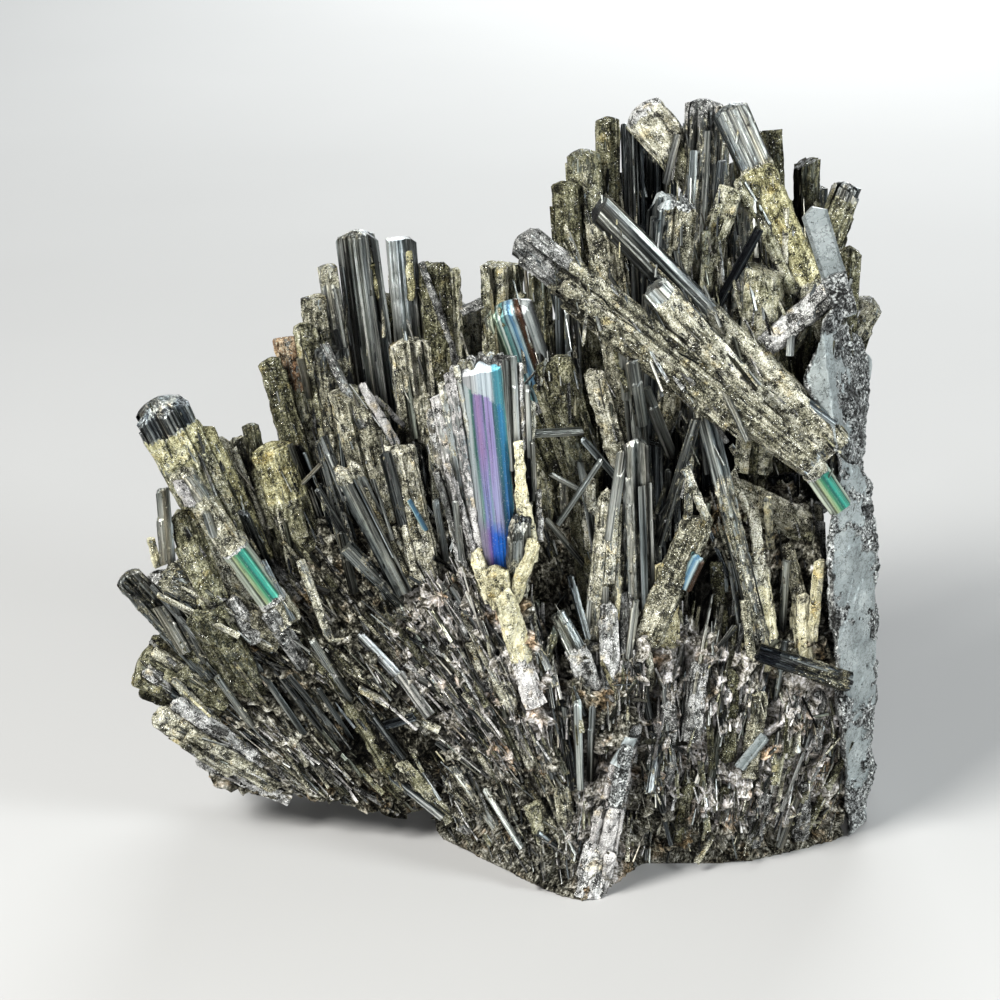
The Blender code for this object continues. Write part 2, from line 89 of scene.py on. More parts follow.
# ------------------------------------------------------------------------- noise
def hash01(i, j, k, seed):
    h = (i * 73856093) ^ (j * 19349663) ^ (k * 83492791) ^ (seed * 2654435761)
    h &= 0xFFFFFFFF
    h = ((h ^ (h >> 16)) * 0x45D9F3B) & 0xFFFFFFFF
    h = ((h ^ (h >> 16)) * 0x45D9F3B) & 0xFFFFFFFF
    h ^= h >> 16
    return h / 4294967295.0


def vnoise(p, seed=1):
    """Smooth value noise in 0..1 at points (n, 3)."""
    i = np.floor(p).astype(np.int64)
    f = p - i
    f = f * f * (3 - 2 * f)
    out = 0.0
    for dx in (0, 1):
        for dy in (0, 1):
            for dz in (0, 1):
                w = (f[:, 0] if dx else 1 - f[:, 0]) * (f[:, 1] if dy else 1 - f[:, 1]) * (f[:, 2] if dz else 1 - f[:, 2])
                out = out + w * hash01(i[:, 0] + dx, i[:, 1] + dy, i[:, 2] + dz, seed)
    return out


def fbm(p, seed=1, octaves=3):
    total, amp, norm = 0.0, 1.0, 0.0
    for o in range(octaves):
        total = total + amp * vnoise(p * 2.0 ** o, seed + 17 * o)
        norm += amp
        amp *= 0.55
    return total / norm


def unit(v):
    return v / max(np.linalg.norm(v), 1e-9)


# ------------------------------------------------------------------- mesh buffer
class Buf:
    """Collects closed shells; loc is the place in the crystal in mm, par is crust, shade, chance."""

    def __init__(self):
        self.v, self.q, self.t, self.loc, self.par, self.n, self.mi = [], [], [], [], [], 0, []

    def add(self, v, q, t, loc, par, mat=0):
        self.v.append(v)
        if len(q):
            self.q.append(np.asarray(q) + self.n)
        if len(t):
            self.t.append(np.asarray(t) + self.n)
        self.loc.append(loc)
        self.par.append(par)
        self.mi.append((np.broadcast_to(np.asarray(mat[0] if isinstance(mat, tuple) else mat), (len(q),)),
                        np.broadcast_to(np.asarray(mat[1] if isinstance(mat, tuple) else mat), (len(t),))))
        self.n += len(v)

    def tris(self):
        return 2 * sum(len(q) for q in self.q) + sum(len(t) for t in self.t)

    def build(self, name, smooth=False):
        v = np.concatenate(self.v)
        q = np.concatenate(self.q) if self.q else np.zeros((0, 4), int)
        t = np.concatenate(self.t) if self.t else np.zeros((0, 3), int)
        me = bpy.data.meshes.new(name)
        me.vertices.add(len(v))
        me.vertices.foreach_set("co", ((v - SHIFT) * 0.001).astype(np.float32).ravel())
        me.loops.add(4 * len(q) + 3 * len(t))
        me.loops.foreach_set("vertex_index", np.concatenate([q.ravel(), t.ravel()]).astype(np.int32))
        me.polygons.add(len(q) + len(t))
        start = np.concatenate([np.arange(len(q)) * 4, 4 * len(q) + np.arange(len(t)) * 3])
        me.polygons.foreach_set("loop_start", start.astype(np.int32))
        mi = np.concatenate([a for a, b in self.mi] + [b for a, b in self.mi]).astype(np.int32)
        used, slot = np.unique(mi, return_inverse=True)
        for u in used:
            me.materials.append(MATS[u])
        me.polygons.foreach_set("material_index", slot.astype(np.int32).ravel())
        me.polygons.foreach_set("use_smooth", np.full(len(q) + len(t), smooth))
        me.update(calc_edges=True)
        for key, data in (("loc", self.loc), ("par", self.par)):
            at = me.attributes.new(key, "FLOAT_VECTOR", "POINT")
            at.data.foreach_set("vector", np.concatenate(data).astype(np.float32).ravel())
        ob = bpy.data.objects.new(name, me)
        bpy.context.scene.collection.objects.link(ob)
        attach(ob, "root")
        return ob


# ---------------------------------------------------------------------- crystals
OUTLINE = [(1.0, 0.28), (0.62, 0.86), (-0.05, 1.0), (-0.68, 0.80), (-1.0, 0.22), (-0.9, -0.55), (-0.1, -1.0), (0.8, -0.66)]
FLAT = [(1.0, 0.3), (0.7, 0.9), (-0.7, 0.9), (-1.0, 0.3), (-0.96, -0.4), (-0.72, -0.94), (0.72, -0.94), (0.96, -0.4)]
BOX = [(1.0, 0.85), (0.0, 1.0), (-0.95, 0.9), (-1.0, -0.7), (-0.72, -1.0), (0.1, -0.96), (0.86, -0.92), (1.0, -0.6)]
HEX = [(1.0, 0.0), (0.5, 0.9), (-0.5, 0.95), (-1.0, 0.1), (-0.55, -0.9), (0.45, -0.95)]


def section(outline, a, b, n):
    """n points round a polygon of half widths a, b, its corners kept, with outward normals."""
    c = np.array(outline) * A(a, b)
    e = np.roll(c, -1, 0) - c
    ln = np.hypot(e[:, 0], e[:, 1])
    count = np.maximum(1, np.round(n * ln / ln.sum()).astype(int))
    pts, nor = [], []
    for k in range(len(c)):
        nn = A(e[k, 1], -e[k, 0]) / max(ln[k], 1e-9)
        for i in range(count[k]):
            pts.append(c[k] + e[k] * (i / count[k]))
            nor.append(nn)
    pts, nor = np.array(pts), np.array(nor)
    area = np.sum(pts[:, 0] * np.roll(pts[:, 1], -1) - np.roll(pts[:, 0], -1) * pts[:, 1])
    if area < 0:
        pts, nor = pts[::-1].copy(), nor[::-1].copy()
    flip = np.sum(pts * nor, 1) < 0
    nor[flip] *= -1
    return pts, nor


def zones(t, spec):
    """Crust along the crystal, t from 0 at the tip to 1 at the foot."""
    if not isinstance(spec, (list, tuple)):
        return np.full(t.shape, float(spec))
    out = np.zeros(t.shape)
    for t0, t1, amount in spec:
        w = np.clip((t - t0) / 0.02 + 0.5, 0, 1) * np.clip((t1 - t) / 0.02 + 0.5, 0, 1)
        out = np.maximum(out, w * amount)
    return out


def crystal(B, tip, foot, wt, wf, share=0.8, roll=0.0, term="broken", laths=7, groove=0.09, short=0.45, crust=0.0,
            shade=0.0, seed=1, n=None, m=None, bend=0.0, outline=None, mat=0, capslope=0.35, rnd=None, face_view=True, deep=0.16,
            rough_end=None, fine=True):
    """One striated prism: grooved sides, laths that end at their own heights, and a shaped or broken end."""
    rng = np.random.default_rng(seed)
    tip, foot = np.asarray(tip, float), np.asarray(foot, float)
    heavy = callable(crust) or np.max(np.atleast_1d(zones(np.linspace(0, 1, 20), crust))) > 0.4
    if heavy and not callable(crust) and np.mean(zones(np.linspace(0, 1, 20), crust)) > 0.5:
        groove, laths = groove * 0.6, max(3, int(laths * 0.7))
    L = np.linalg.norm(tip - foot)
    ax = (tip - foot) / L
    ref = VIEW if face_view else unit(np.cross(ax, A(0.3, 0.2, 1.0)))
    side = np.cross(ax, ref)
    if np.linalg.norm(side) < 1e-3:
        side = np.cross(ax, A(1, 0, 0))
    side = unit(side)
    face = unit(np.cross(side, ax))
    r = math.radians(roll)
    side, face = side * math.cos(r) + face * math.sin(r), face * math.cos(r) - side * math.sin(r)
    outline = outline or OUTLINE
    w = max(wt, wf)
    if n is None:
        n = int(np.clip(2.9 * w / (0.30 if fine else 0.55), 12, 76))
    pts, nor = section(outline, 0.5, 0.5 * share, n)
    n = len(pts)
    if m is None:
        m = int(np.clip(L / (0.62 if heavy else 1.3), 4, (46 if fine else 26) if heavy else 20))
    # laths round the outline
    cuts = np.sort(rng.choice(np.arange(n), size=min(laths, n // 2), replace=False)) if laths > 1 else np.array([0])
    lath = np.searchsorted(cuts, np.arange(n), side="right") % len(cuts)
    off = rng.uniform(0, groove, len(cuts))[lath] + rng.uniform(0, groove * 0.4, n) * (np.arange(n) % 2)
    notch = np.zeros(n)
    notch[cuts] = rng.uniform(0.4, 1.5, len(cuts)) * groove
    off = off + notch
    T = np.linspace(0, 1, m + 1)[:, None] * np.ones((1, n))
    T[1:-1] += rng.uniform(-0.25, 0.25, (m - 1, 1)) / m
    O = np.repeat(off[None, :], m + 1, 0)
    for k in range(len(cuts)):
        if rng.random() < short and m >= 4:
            h = 1 - rng.uniform(0.03, 0.75) ** 1.4
            cols = lath == k
            j = int(np.clip(round(h * m), 1, m - 2))
            rag = rng.uniform(-1, 1, cols.sum()) * 0.18 / m
            T[j, cols] = h + rag
            T[j + 1, cols] = h + rag + min(0.35 / m, 0.25 / L)
            O[j + 1:, cols] += rng.uniform(0.4, 1.0) * deep
    # slow wobble along the length
    ring = np.arange(m + 1)
    O += (vnoise(np.stack([np.repeat(ring * 0.45, n), np.tile(np.arange(n) * 0.3, m + 1), np.full(n * (m + 1), seed * 1.7)], 1), seed)
          .reshape(m + 1, n) - 0.5) * groove * 0.5
    W = wf + (wt - wf) * T
    s = (pts[None, :, 0] - nor[None, :, 0] * O) * W
    f = (pts[None, :, 1] - nor[None, :, 1] * O) * W
    hw, ht = 0.5 * wt, 0.5 * wt * share
    rough = {"broken": 0.10, "round": 0.03, "rough": 0.2}.get(term, 0.012) if rough_end is None else rough_end
    lift = rng.uniform(0, 1, len(cuts))
    planes = []
    if term == "chisel":
        planes = [(1.0, 0.1, 0.0, capslope * 1.6), (-1.0, 0.1, 0.0, capslope * 1.6)]
    elif term == "point":
        planes = [(math.cos(a), math.sin(a), 0.12, capslope * 2.0) for a in (0.5, 2.0, 3.6, 5.1)]
    elif term == "slant":
        planes = [(math.cos(a), math.sin(a), -0.6, capslope) for a in (rng.uniform(0, 6.28),)]
    elif term == "left":
        planes = [(1.0, -0.4, -0.5, capslope * 1.4)]
    elif term == "right":
        planes = [(-1.0, -0.4, -0.5, capslope * 1.4)]
    elif term == "front":
        planes = [(0.25, -1.0, -0.3, capslope * 2.0), (0.8, 0.2, 0.45, 0.8)]
    elif term == "round":
        planes = [(math.cos(a), math.sin(a), 0.55, 1.0) for a in np.arange(0, 6.28, 0.9)] + [(math.cos(a), math.sin(a), 0.2, 0.4) for a in np.arange(0.4, 6.28, 1.1)]
    elif term in ("flat", "broken", "rough"):
        a = rng.uniform(0, 6.28)
        planes = [(math.cos(a), math.sin(a), -0.4, capslope * 0.45), (-math.cos(a), -math.sin(a), 0.35, 0.9), (math.sin(a), math.cos(a), 0.5, 0.9)]

    def drop(s_, f_, lift_):
        d = np.zeros(s_.shape)
        for cx, cy, c0, sl in planes:
            d = np.maximum(d, ((cx * s_ / hw + cy * f_ / ht) - c0) * sl * hw)
        pn = np.stack([s_.ravel() / wt * 5 + seed, f_.ravel() / wt * 5, np.full(s_.size, seed * 0.37)], 1)
        d = d + (vnoise(pn, seed + 3).reshape(s_.shape)) * rough * wt * 1.2 + lift_ * rough * wt
        return d

    top = drop(s[-1], f[-1], lift[lath])
    T = T * (1 - top / L)[None, :]
    cr = zones(1 - T, crust) if not callable(crust) else crust(T, s / W, f / W)
    if heavy or callable(crust):
        g = fbm(np.stack([s.ravel() * 2.4 + seed * 3.1, f.ravel() * 2.4, T.ravel() * L * 2.4], 1), seed + 5, 2).reshape(s.shape)
        g2 = vnoise(np.stack([s.ravel() * 0.8 + seed * 1.3, f.ravel() * 0.8, T.ravel() * L * 0.8], 1), seed + 9).reshape(s.shape)
        bump = np.clip(cr, 0, 1) * ((g - 0.42) * 0.55 + (g2 - 0.5) * 0.40)
        s = s + nor[None, :, 0] * bump
        f = f + nor[None, :, 1] * bump
    co = (foot[None, None] + ax * (T * L)[..., None] + side * s[..., None] + face * f[..., None]
          + side * (bend * L * np.sin(np.pi * T))[..., None])
    verts = [co.reshape(-1, 3)]
    locs = [np.stack([s, f, T * L], -1).reshape(-1, 3)]
    crs = [cr.ravel()]
    ts = [T.ravel()]
    rings = m + 1
    for q in (0.93, 0.68, 0.36):
        sq, fq = s[-1] * q, f[-1] * q
        base = drop(sq, fq, lift[lath] * q * q)
        tq = 1 - base / L
        co = foot[None] + ax * (tq * L)[:, None] + side * sq[:, None] + face * fq[:, None]
        verts.append(co)
        locs.append(np.stack([sq, fq, tq * L], -1))
        crs.append(np.clip(cr[-1], 0, 1))
        ts.append(tq)
        rings += 1
    c_top = foot + ax * (L - float(drop(np.zeros(1), np.zeros(1), np.zeros(1))[0]))
    verts += [c_top[None], foot[None]]
    locs += [A(0, 0, L)[None], A(0, 0, 0)[None]]
    crs += [A(float(np.mean(cr[-1]))), A(float(np.mean(cr[0])))]
    ts += [A(1.0), A(0.0)]
    i = np.arange(n)
    k = (i + 1) % n
    quads = np.concatenate([np.stack([j * n + i, j * n + k, (j + 1) * n + k, (j + 1) * n + i], 1) for j in range(rings - 1)])
    ct, cf = rings * n, rings * n + 1
    tri = np.concatenate([np.stack([(rings - 1) * n + i, (rings - 1) * n + k, np.full(n, ct)], 1), np.stack([k, i, np.full(n, cf)], 1)])
    # outward facing: side, face, axis may be left handed
    if np.dot(np.cross(side, face), ax) < 0:
        quads, tri = quads[:, ::-1], tri[:, ::-1]
    v, loc, cra, t = np.concatenate(verts), np.concatenate(locs), np.concatenate(crs), np.concatenate(ts)
    if isinstance(mat, list):          # bands along the crystal: (from, to, material), measured from the tip
        tq, tt = 1 - t[quads].mean(1), 1 - t[tri].mean(1)
        mq, mt = np.full(len(quads), mat[0][2]), np.full(len(tri), mat[0][2])
        for b0, b1, m_ in mat:
            mq[(tq >= b0) & (tq <= b1)] = m_
            mt[(tt >= b0) & (tt <= b1)] = m_
        mat = (mq, mt)
    rv = rng.random() if rnd is None else rnd
    wt_ = wf + (wt - wf) * t
    sh = shade(t, loc[:, 0] / wt_, loc[:, 1] / wt_) if callable(shade) else np.full(len(v), shade)
    par = np.stack([cra, sh, np.full(len(v), rv)], 1)
    v[:, 2] = np.maximum(v[:, 2], 0.02)
    B.add(v, quads, tri, loc, par, mat)
    return ax, side, face, L


def bundle(B, spec, seed, rods=6, spread=0.84, rod_w=(0.14, 0.34), rod_crust=None, **kw):
    """A main crystal with thinner laths grown along its sides."""
    tip, foot, w_tip, w_foot, share, roll, cap = spec
    tip = P(*tip) if isinstance(tip, tuple) else tip
    foot = P(*foot) if isinstance(foot, tuple) else foot
    wt, wf = w_tip * DIV, w_foot * DIV
    mat = kw.pop("mat", METAL)
    crust = kw.pop("crust", 0.0)
    rod_mat = kw.pop("rod_mat", mat[-1][2] if isinstance(mat, list) else mat)
    roll = kw.pop("roll", roll)
    ax, side, face, L = crystal(B, tip, foot, wt, wf, share, roll, crust=crust, seed=seed, mat=mat, **kw)
    rng = np.random.default_rng(seed + 999)
    for k in range((rods + 1) // 2):
        a = rng.uniform(0, 2 * math.pi)
        t0, t1 = rng.uniform(0.0, 0.45), rng.uniform(0.45, 0.93)
        if t1 - t0 < 0.15:
            continue
        w0, w1 = wf + (wt - wf) * t0, wf + (wt - wf) * t1
        rw = rng.uniform(*rod_w) * max(wt, wf)
        o0 = side * math.cos(a) * w0 * 0.5 * spread + face * math.sin(a) * w0 * 0.5 * share * spread
        o1 = side * math.cos(a) * w1 * 0.5 * spread + face * math.sin(a) * w1 * 0.5 * share * spread
        jit = rng.normal(0, 0.006, 3) * L * (t1 - t0)
        c = rod_crust if rod_crust is not None else (crust if not callable(crust) else 0.3)
        if isinstance(c, (list, tuple)):
            c = float(np.max([z[2] for z in c])) * (rng.random() < 0.5)
        crystal(B, foot + ax * L * t1 + o1 + jit, foot + ax * L * t0 + o0, rw * rng.uniform(0.75, 1), rw, rng.uniform(0.5, 1),
                rng.uniform(0, 90), term=rng.choice(["flat", "slant", "broken"]), laths=3, groove=0.12, short=0.3,
                crust=c, seed=seed * 31 + k, n=int(np.clip(rw * 9, 8, 16)), m=4, mat=rod_mat)


# --------------------------------------------------------------------- materials
METAL, DARK, SILVER, COAT, CREAM, OLIVE, CLEAVE, ROOT, BLADEM, STRIPE, GREENM, GREY, PALEM, YELLOW, RUST = range(15)


class Net:
    """Short names for building a node tree."""

    def __init__(self, name):
        self.mat = bpy.data.materials.new(name)
        self.mat.use_nodes = True
        self.t = self.mat.node_tree
        self.bsdf = self.t.nodes["Principled BSDF"]

    def node(self, kind, **props):
        n = self.t.nodes.new(kind)
        for k, v in props.items():
            setattr(n, k, v)
        return n

    def link(self, a, b):
        self.t.links.new(a, b)

    def put(self, sock, val):
        if hasattr(val, "is_linked") or isinstance(val, bpy.types.NodeSocket):
            self.link(val, sock)
        else:
            sock.default_value = val

    def attr(self, name):
        return self.node("ShaderNodeAttribute", attribute_name=name, attribute_type="GEOMETRY").outputs["Vector"]

    def split(self, v):
        n = self.node("ShaderNodeSeparateXYZ")
        self.link(v, n.inputs[0])
        return n.outputs[0], n.outputs[1], n.outputs[2]

    def math(self, op, a, b=0.0, c=None, clamp=False):
        n = self.node("ShaderNodeMath", operation=op, use_clamp=clamp)
        self.put(n.inputs[0], a)
        self.put(n.inputs[1], b)
        if c is not None:
            self.put(n.inputs[2], c)
        return n.outputs[0]

    def vec(self, x, y, z):
        n = self.node("ShaderNodeCombineXYZ")
        for s, v in zip(n.inputs, (x, y, z)):
            self.put(s, v)
        return n.outputs[0]

    def vmath(self, op, a, b):
        n = self.node("ShaderNodeVectorMath", operation=op)
        self.put(n.inputs[0], a)
        self.put(n.inputs[1], b)
        return n.outputs[0]

    def noise(self, v, scale=1.0, detail=3.0, rough=0.55, distortion=0.0):
        n = self.node("ShaderNodeTexNoise")
        self.link(v, n.inputs["Vector"])
        n.inputs["Scale"].default_value = scale
        n.inputs["Detail"].default_value = detail
        n.inputs["Roughness"].default_value = rough
        n.inputs["Distortion"].default_value = distortion
        return n.outputs["Fac"]

    def voronoi(self, v, scale=1.0, feature="F1", rnd=1.0):
        n = self.node("ShaderNodeTexVoronoi", feature=feature)
        self.link(v, n.inputs["Vector"])
        n.inputs["Scale"].default_value = scale
        n.inputs["Randomness"].default_value = rnd
        return n.outputs["Distance"], n.outputs["Color"]

    def ramp(self, fac, stops, mode="LINEAR"):
        n = self.node("ShaderNodeValToRGB")
        cr = n.color_ramp
        cr.interpolation = mode
        while len(cr.elements) < len(stops):
            cr.elements.new(0.5)
        for e, (pos, col) in zip(cr.elements, stops):
            e.position = pos
            e.color = (*col, 1.0) if len(col) == 3 else col
        self.put(n.inputs[0], fac)
        return n.outputs["Color"]

    def mix(self, fac, a, b, blend="MIX"):
        n = self.node("ShaderNodeMix", data_type="RGBA", blend_type=blend)
        self.put(n.inputs["Factor"], fac)
        for s, v in ((n.inputs[6], a), (n.inputs[7], b)):
            self.put(s, v if not isinstance(v, tuple) else (*v, 1.0))
        return n.outputs[2]

    def fmix(self, fac, a, b):
        n = self.node("ShaderNodeMix", data_type="FLOAT")
        self.put(n.inputs["Factor"], fac)
        self.put(n.inputs[2], a)
        self.put(n.inputs[3], b)
        return n.outputs[0]

    def remap(self, v, a, b, c=0.0, d=1.0):
        n = self.node("ShaderNodeMapRange")
        for s, x in zip(n.inputs[:5], (v, a, b, c, d)):
            self.put(s, x)
        return n.outputs[0]

    def bump(self, height, strength, distance):
        n = self.node("ShaderNodeBump")
        self.put(n.inputs["Height"], height)
        self.put(n.inputs["Strength"], strength)
        n.inputs["Distance"].default_value = distance
        return n.outputs[0]


TAN = [(0.365, (0.006, 0.006, 0.005)), (0.43, (0.034, 0.033, 0.022)), (0.48, (0.120, 0.116, 0.080)), (0.53, (0.270, 0.262, 0.192)), (0.585, (0.45, 0.441, 0.345)),
       (0.67, (0.78, 0.775, 0.69))]
CREAMS = [(0.34, (0.06, 0.053, 0.028)), (0.41, (0.18, 0.164, 0.092)), (0.48, (0.34, 0.318, 0.195)), (0.55, (0.50, 0.475, 0.318)), (0.64, (0.68, 0.655, 0.49)), (0.74, (0.88, 0.86, 0.73))]
YELLOWS = [(0.355, (0.010, 0.009, 0.004)), (0.42, (0.052, 0.048, 0.022)), (0.48, (0.160, 0.150, 0.076)), (0.54, (0.315, 0.300, 0.165)), (0.60, (0.49, 0.475, 0.300)), (0.69, (0.80, 0.79, 0.61))]
RUSTS = [(0.36, (0.008, 0.005, 0.003)), (0.43, (0.040, 0.020, 0.010)), (0.49, (0.115, 0.056, 0.028)), (0.55, (0.21, 0.125, 0.070)), (0.62, (0.36, 0.28, 0.18)), (0.72, (0.60, 0.53, 0.40))]
OLIVES = [(0.365, (0.004, 0.004, 0.003)), (0.43, (0.021, 0.021, 0.011)), (0.485, (0.080, 0.079, 0.045)), (0.54, (0.182, 0.178, 0.110)), (0.60, (0.33, 0.326, 0.228)),
          (0.70, (0.62, 0.615, 0.52))]
GREYS = [(0.35, (0.010, 0.010, 0.010)), (0.42, (0.048, 0.048, 0.046)), (0.48, (0.15, 0.153, 0.146)), (0.54, (0.31, 0.315, 0.302)), (0.61, (0.54, 0.545, 0.53)),
         (0.71, (0.88, 0.88, 0.86))]
PALES = [(0.34, (0.05, 0.048, 0.046)), (0.41, (0.155, 0.150, 0.146)), (0.48, (0.29, 0.283, 0.275)), (0.55, (0.43, 0.422, 0.408)), (0.63, (0.62, 0.61, 0.59)), (0.72, (0.86, 0.85, 0.83))]


def coat_colour(k, pos, chance, hues=None, pepper=0.0):
    """Granular crust with the striae showing through, peppered with black, and its height."""
    d1, c1 = k.voronoi(pos, 6.0)
    r1 = k.split(c1)[0]
    patch = k.noise(pos, 0.50, 3, 0.6)
    streak = k.noise(k.vmath("MULTIPLY", pos, (1.7, 1.7, 0.15)), 1.0, 3, 0.6)
    fine = k.noise(pos, 6.5, 3, 0.65)
    tone = k.math("ADD", k.math("MULTIPLY", patch, 0.30), k.math("MULTIPLY", fine, 0.40))
    tone = k.math("ADD", tone, k.math("MULTIPLY", streak, 0.30))
    tone = k.math("ADD", tone, k.math("ADD", k.math("MULTIPLY", r1, 0.12), k.math("MULTIPLY", chance, 0.14)))
    col = k.ramp(k.math("SUBTRACT", tone, 0.108), hues or TAN)
    gold = k.noise(k.vmath("ADD", pos, (21.0, 8.0, 2.0)), 0.36, 3, 0.6)
    col = k.mix(k.math("MULTIPLY", k.remap(gold, 0.58, 0.70), 0.6), col, k.mix(1.0, col, (1.06, 0.86, 0.46), "MULTIPLY"))
    spread = k.noise(k.vmath("ADD", pos, (13.0, 5.0, 9.0)), 0.75, 3, 0.6)
    speck = k.noise(k.vmath("ADD", pos, (3.0, 15.0, 29.0)), 5.6, 4, 0.74)
    dark = k.math("ADD", k.math("MULTIPLY", speck, 1.0), k.math("MULTIPLY", spread, 0.90))
    dark = k.remap(dark, 1.010 - pepper, 1.050 - pepper)
    col = k.mix(k.math("MULTIPLY", dark, 0.95), col, (0.007, 0.007, 0.006))
    # glint: pale grains, partly painted highlight standing in for sparkle and partly metallic grains; stibnite() also
    # makes them metallic and glossy
    glint = k.remap(k.split(c1)[2], 0.94, 0.96)
    col = k.mix(k.math("MULTIPLY", glint, 0.7), col, (0.70, 0.71, 0.66))
    height = k.math("SUBTRACT", k.math("ADD", k.math("MULTIPLY", fine, 0.9), k.math("MULTIPLY", r1, 0.25)), k.math("MULTIPLY", dark, 0.6))
    height = k.math("ADD", height, k.math("MULTIPLY", streak, 0.6))
    return col, height, glint


def stibnite(name, metal=((0.004, 0.004, 0.005), (0.045, 0.048, 0.050), (0.20, 0.21, 0.21), (0.68, 0.70, 0.67)), tint=None, coat=None,
             edge=0.5, rough=0.22, stripes=(3.4, 3.4, 0.05), sharp=0.15, pepper=0.0):
    """Striated lead grey metal that gives way to granular crust where par.x says so."""
    k = Net(name)
    loc, par = k.attr("loc"), k.attr("par")
    crust, shade, chance = k.split(par)
    pos = k.vmath("ADD", loc, k.vec(k.math("MULTIPLY", chance, 91.0), k.math("MULTIPLY", chance, 47.0), k.math("MULTIPLY", chance, 23.0)))
    s1 = k.noise(k.vmath("MULTIPLY", pos, stripes), 1.0, 5, 0.72)
    s2 = k.noise(k.vmath("MULTIPLY", pos, (0.8, 0.8, 0.07)), 1.0, 2, 0.5)
    tone = k.math("ADD", k.math("MULTIPLY", s1, 0.70), k.math("MULTIPLY", s2, 0.30))
    tone = k.math("ADD", tone, k.math("MULTIPLY", k.math("SUBTRACT", chance, 0.5), 0.14))
    met = k.ramp(tone, [(0.50 - sharp, metal[0]), (0.50 - sharp * 0.35, metal[1]), (0.50 + sharp * 0.25, metal[2]), (0.50 + sharp, metal[3])])
    hue = k.noise(k.vmath("MULTIPLY", pos, (0.7, 0.7, 0.03)), 1.0, 2, 0.5)
    warm = k.ramp(hue, tint or [(0.30, (0.84, 0.94, 1.0)), (0.44, (0.96, 1.0, 0.98)), (0.58, (1.0, 0.99, 0.92)), (0.70, (1.0, 0.90, 0.70))])
    met = k.mix(1.0, met, warm, "MULTIPLY")
    nick = k.noise(k.vmath("MULTIPLY", pos, (1.7, 1.7, 1.3)), 1.3, 4, 0.7)
    met = k.mix(k.math("MULTIPLY", k.remap(nick, 0.63, 0.70), 0.75), met, (0.02, 0.02, 0.018))
    col, high, glint = coat_colour(k, pos, chance, coat, pepper)
    edge_n = k.noise(k.vmath("MULTIPLY", pos, (1.3, 1.3, 0.5)), 1.4, 5, 0.7)
    amount = k.math("ADD", crust, k.math("MULTIPLY", k.math("SUBTRACT", edge_n, 0.5), 2.4))
    mask = k.remap(amount, edge - 0.05, edge + 0.07)
    base = k.mix(mask, met, col)
    base = k.mix(k.math("MULTIPLY", shade, 0.93), base, (0.002, 0.002, 0.002))
    k.link(base, k.bsdf.inputs["Base Color"])
    k.link(k.fmix(mask, 0.95, k.math("MULTIPLY", glint, 0.8)), k.bsdf.inputs["Metallic"])
    rr = k.fmix(mask, k.math("ADD", rough, k.math("MULTIPLY", s1, 0.22)), k.fmix(glint, 0.72, 0.25))
    k.link(rr, k.bsdf.inputs["Roughness"])
    k.bsdf.inputs["Specular IOR Level"].default_value = 0.06
    h = k.fmix(mask, k.math("MULTIPLY", s1, 0.5), k.math("ADD", k.math("MULTIPLY", high, 0.9), 0.25))
    k.link(k.bump(h, 0.9, 0.00028), k.bsdf.inputs["Normal"])
    return k.mat


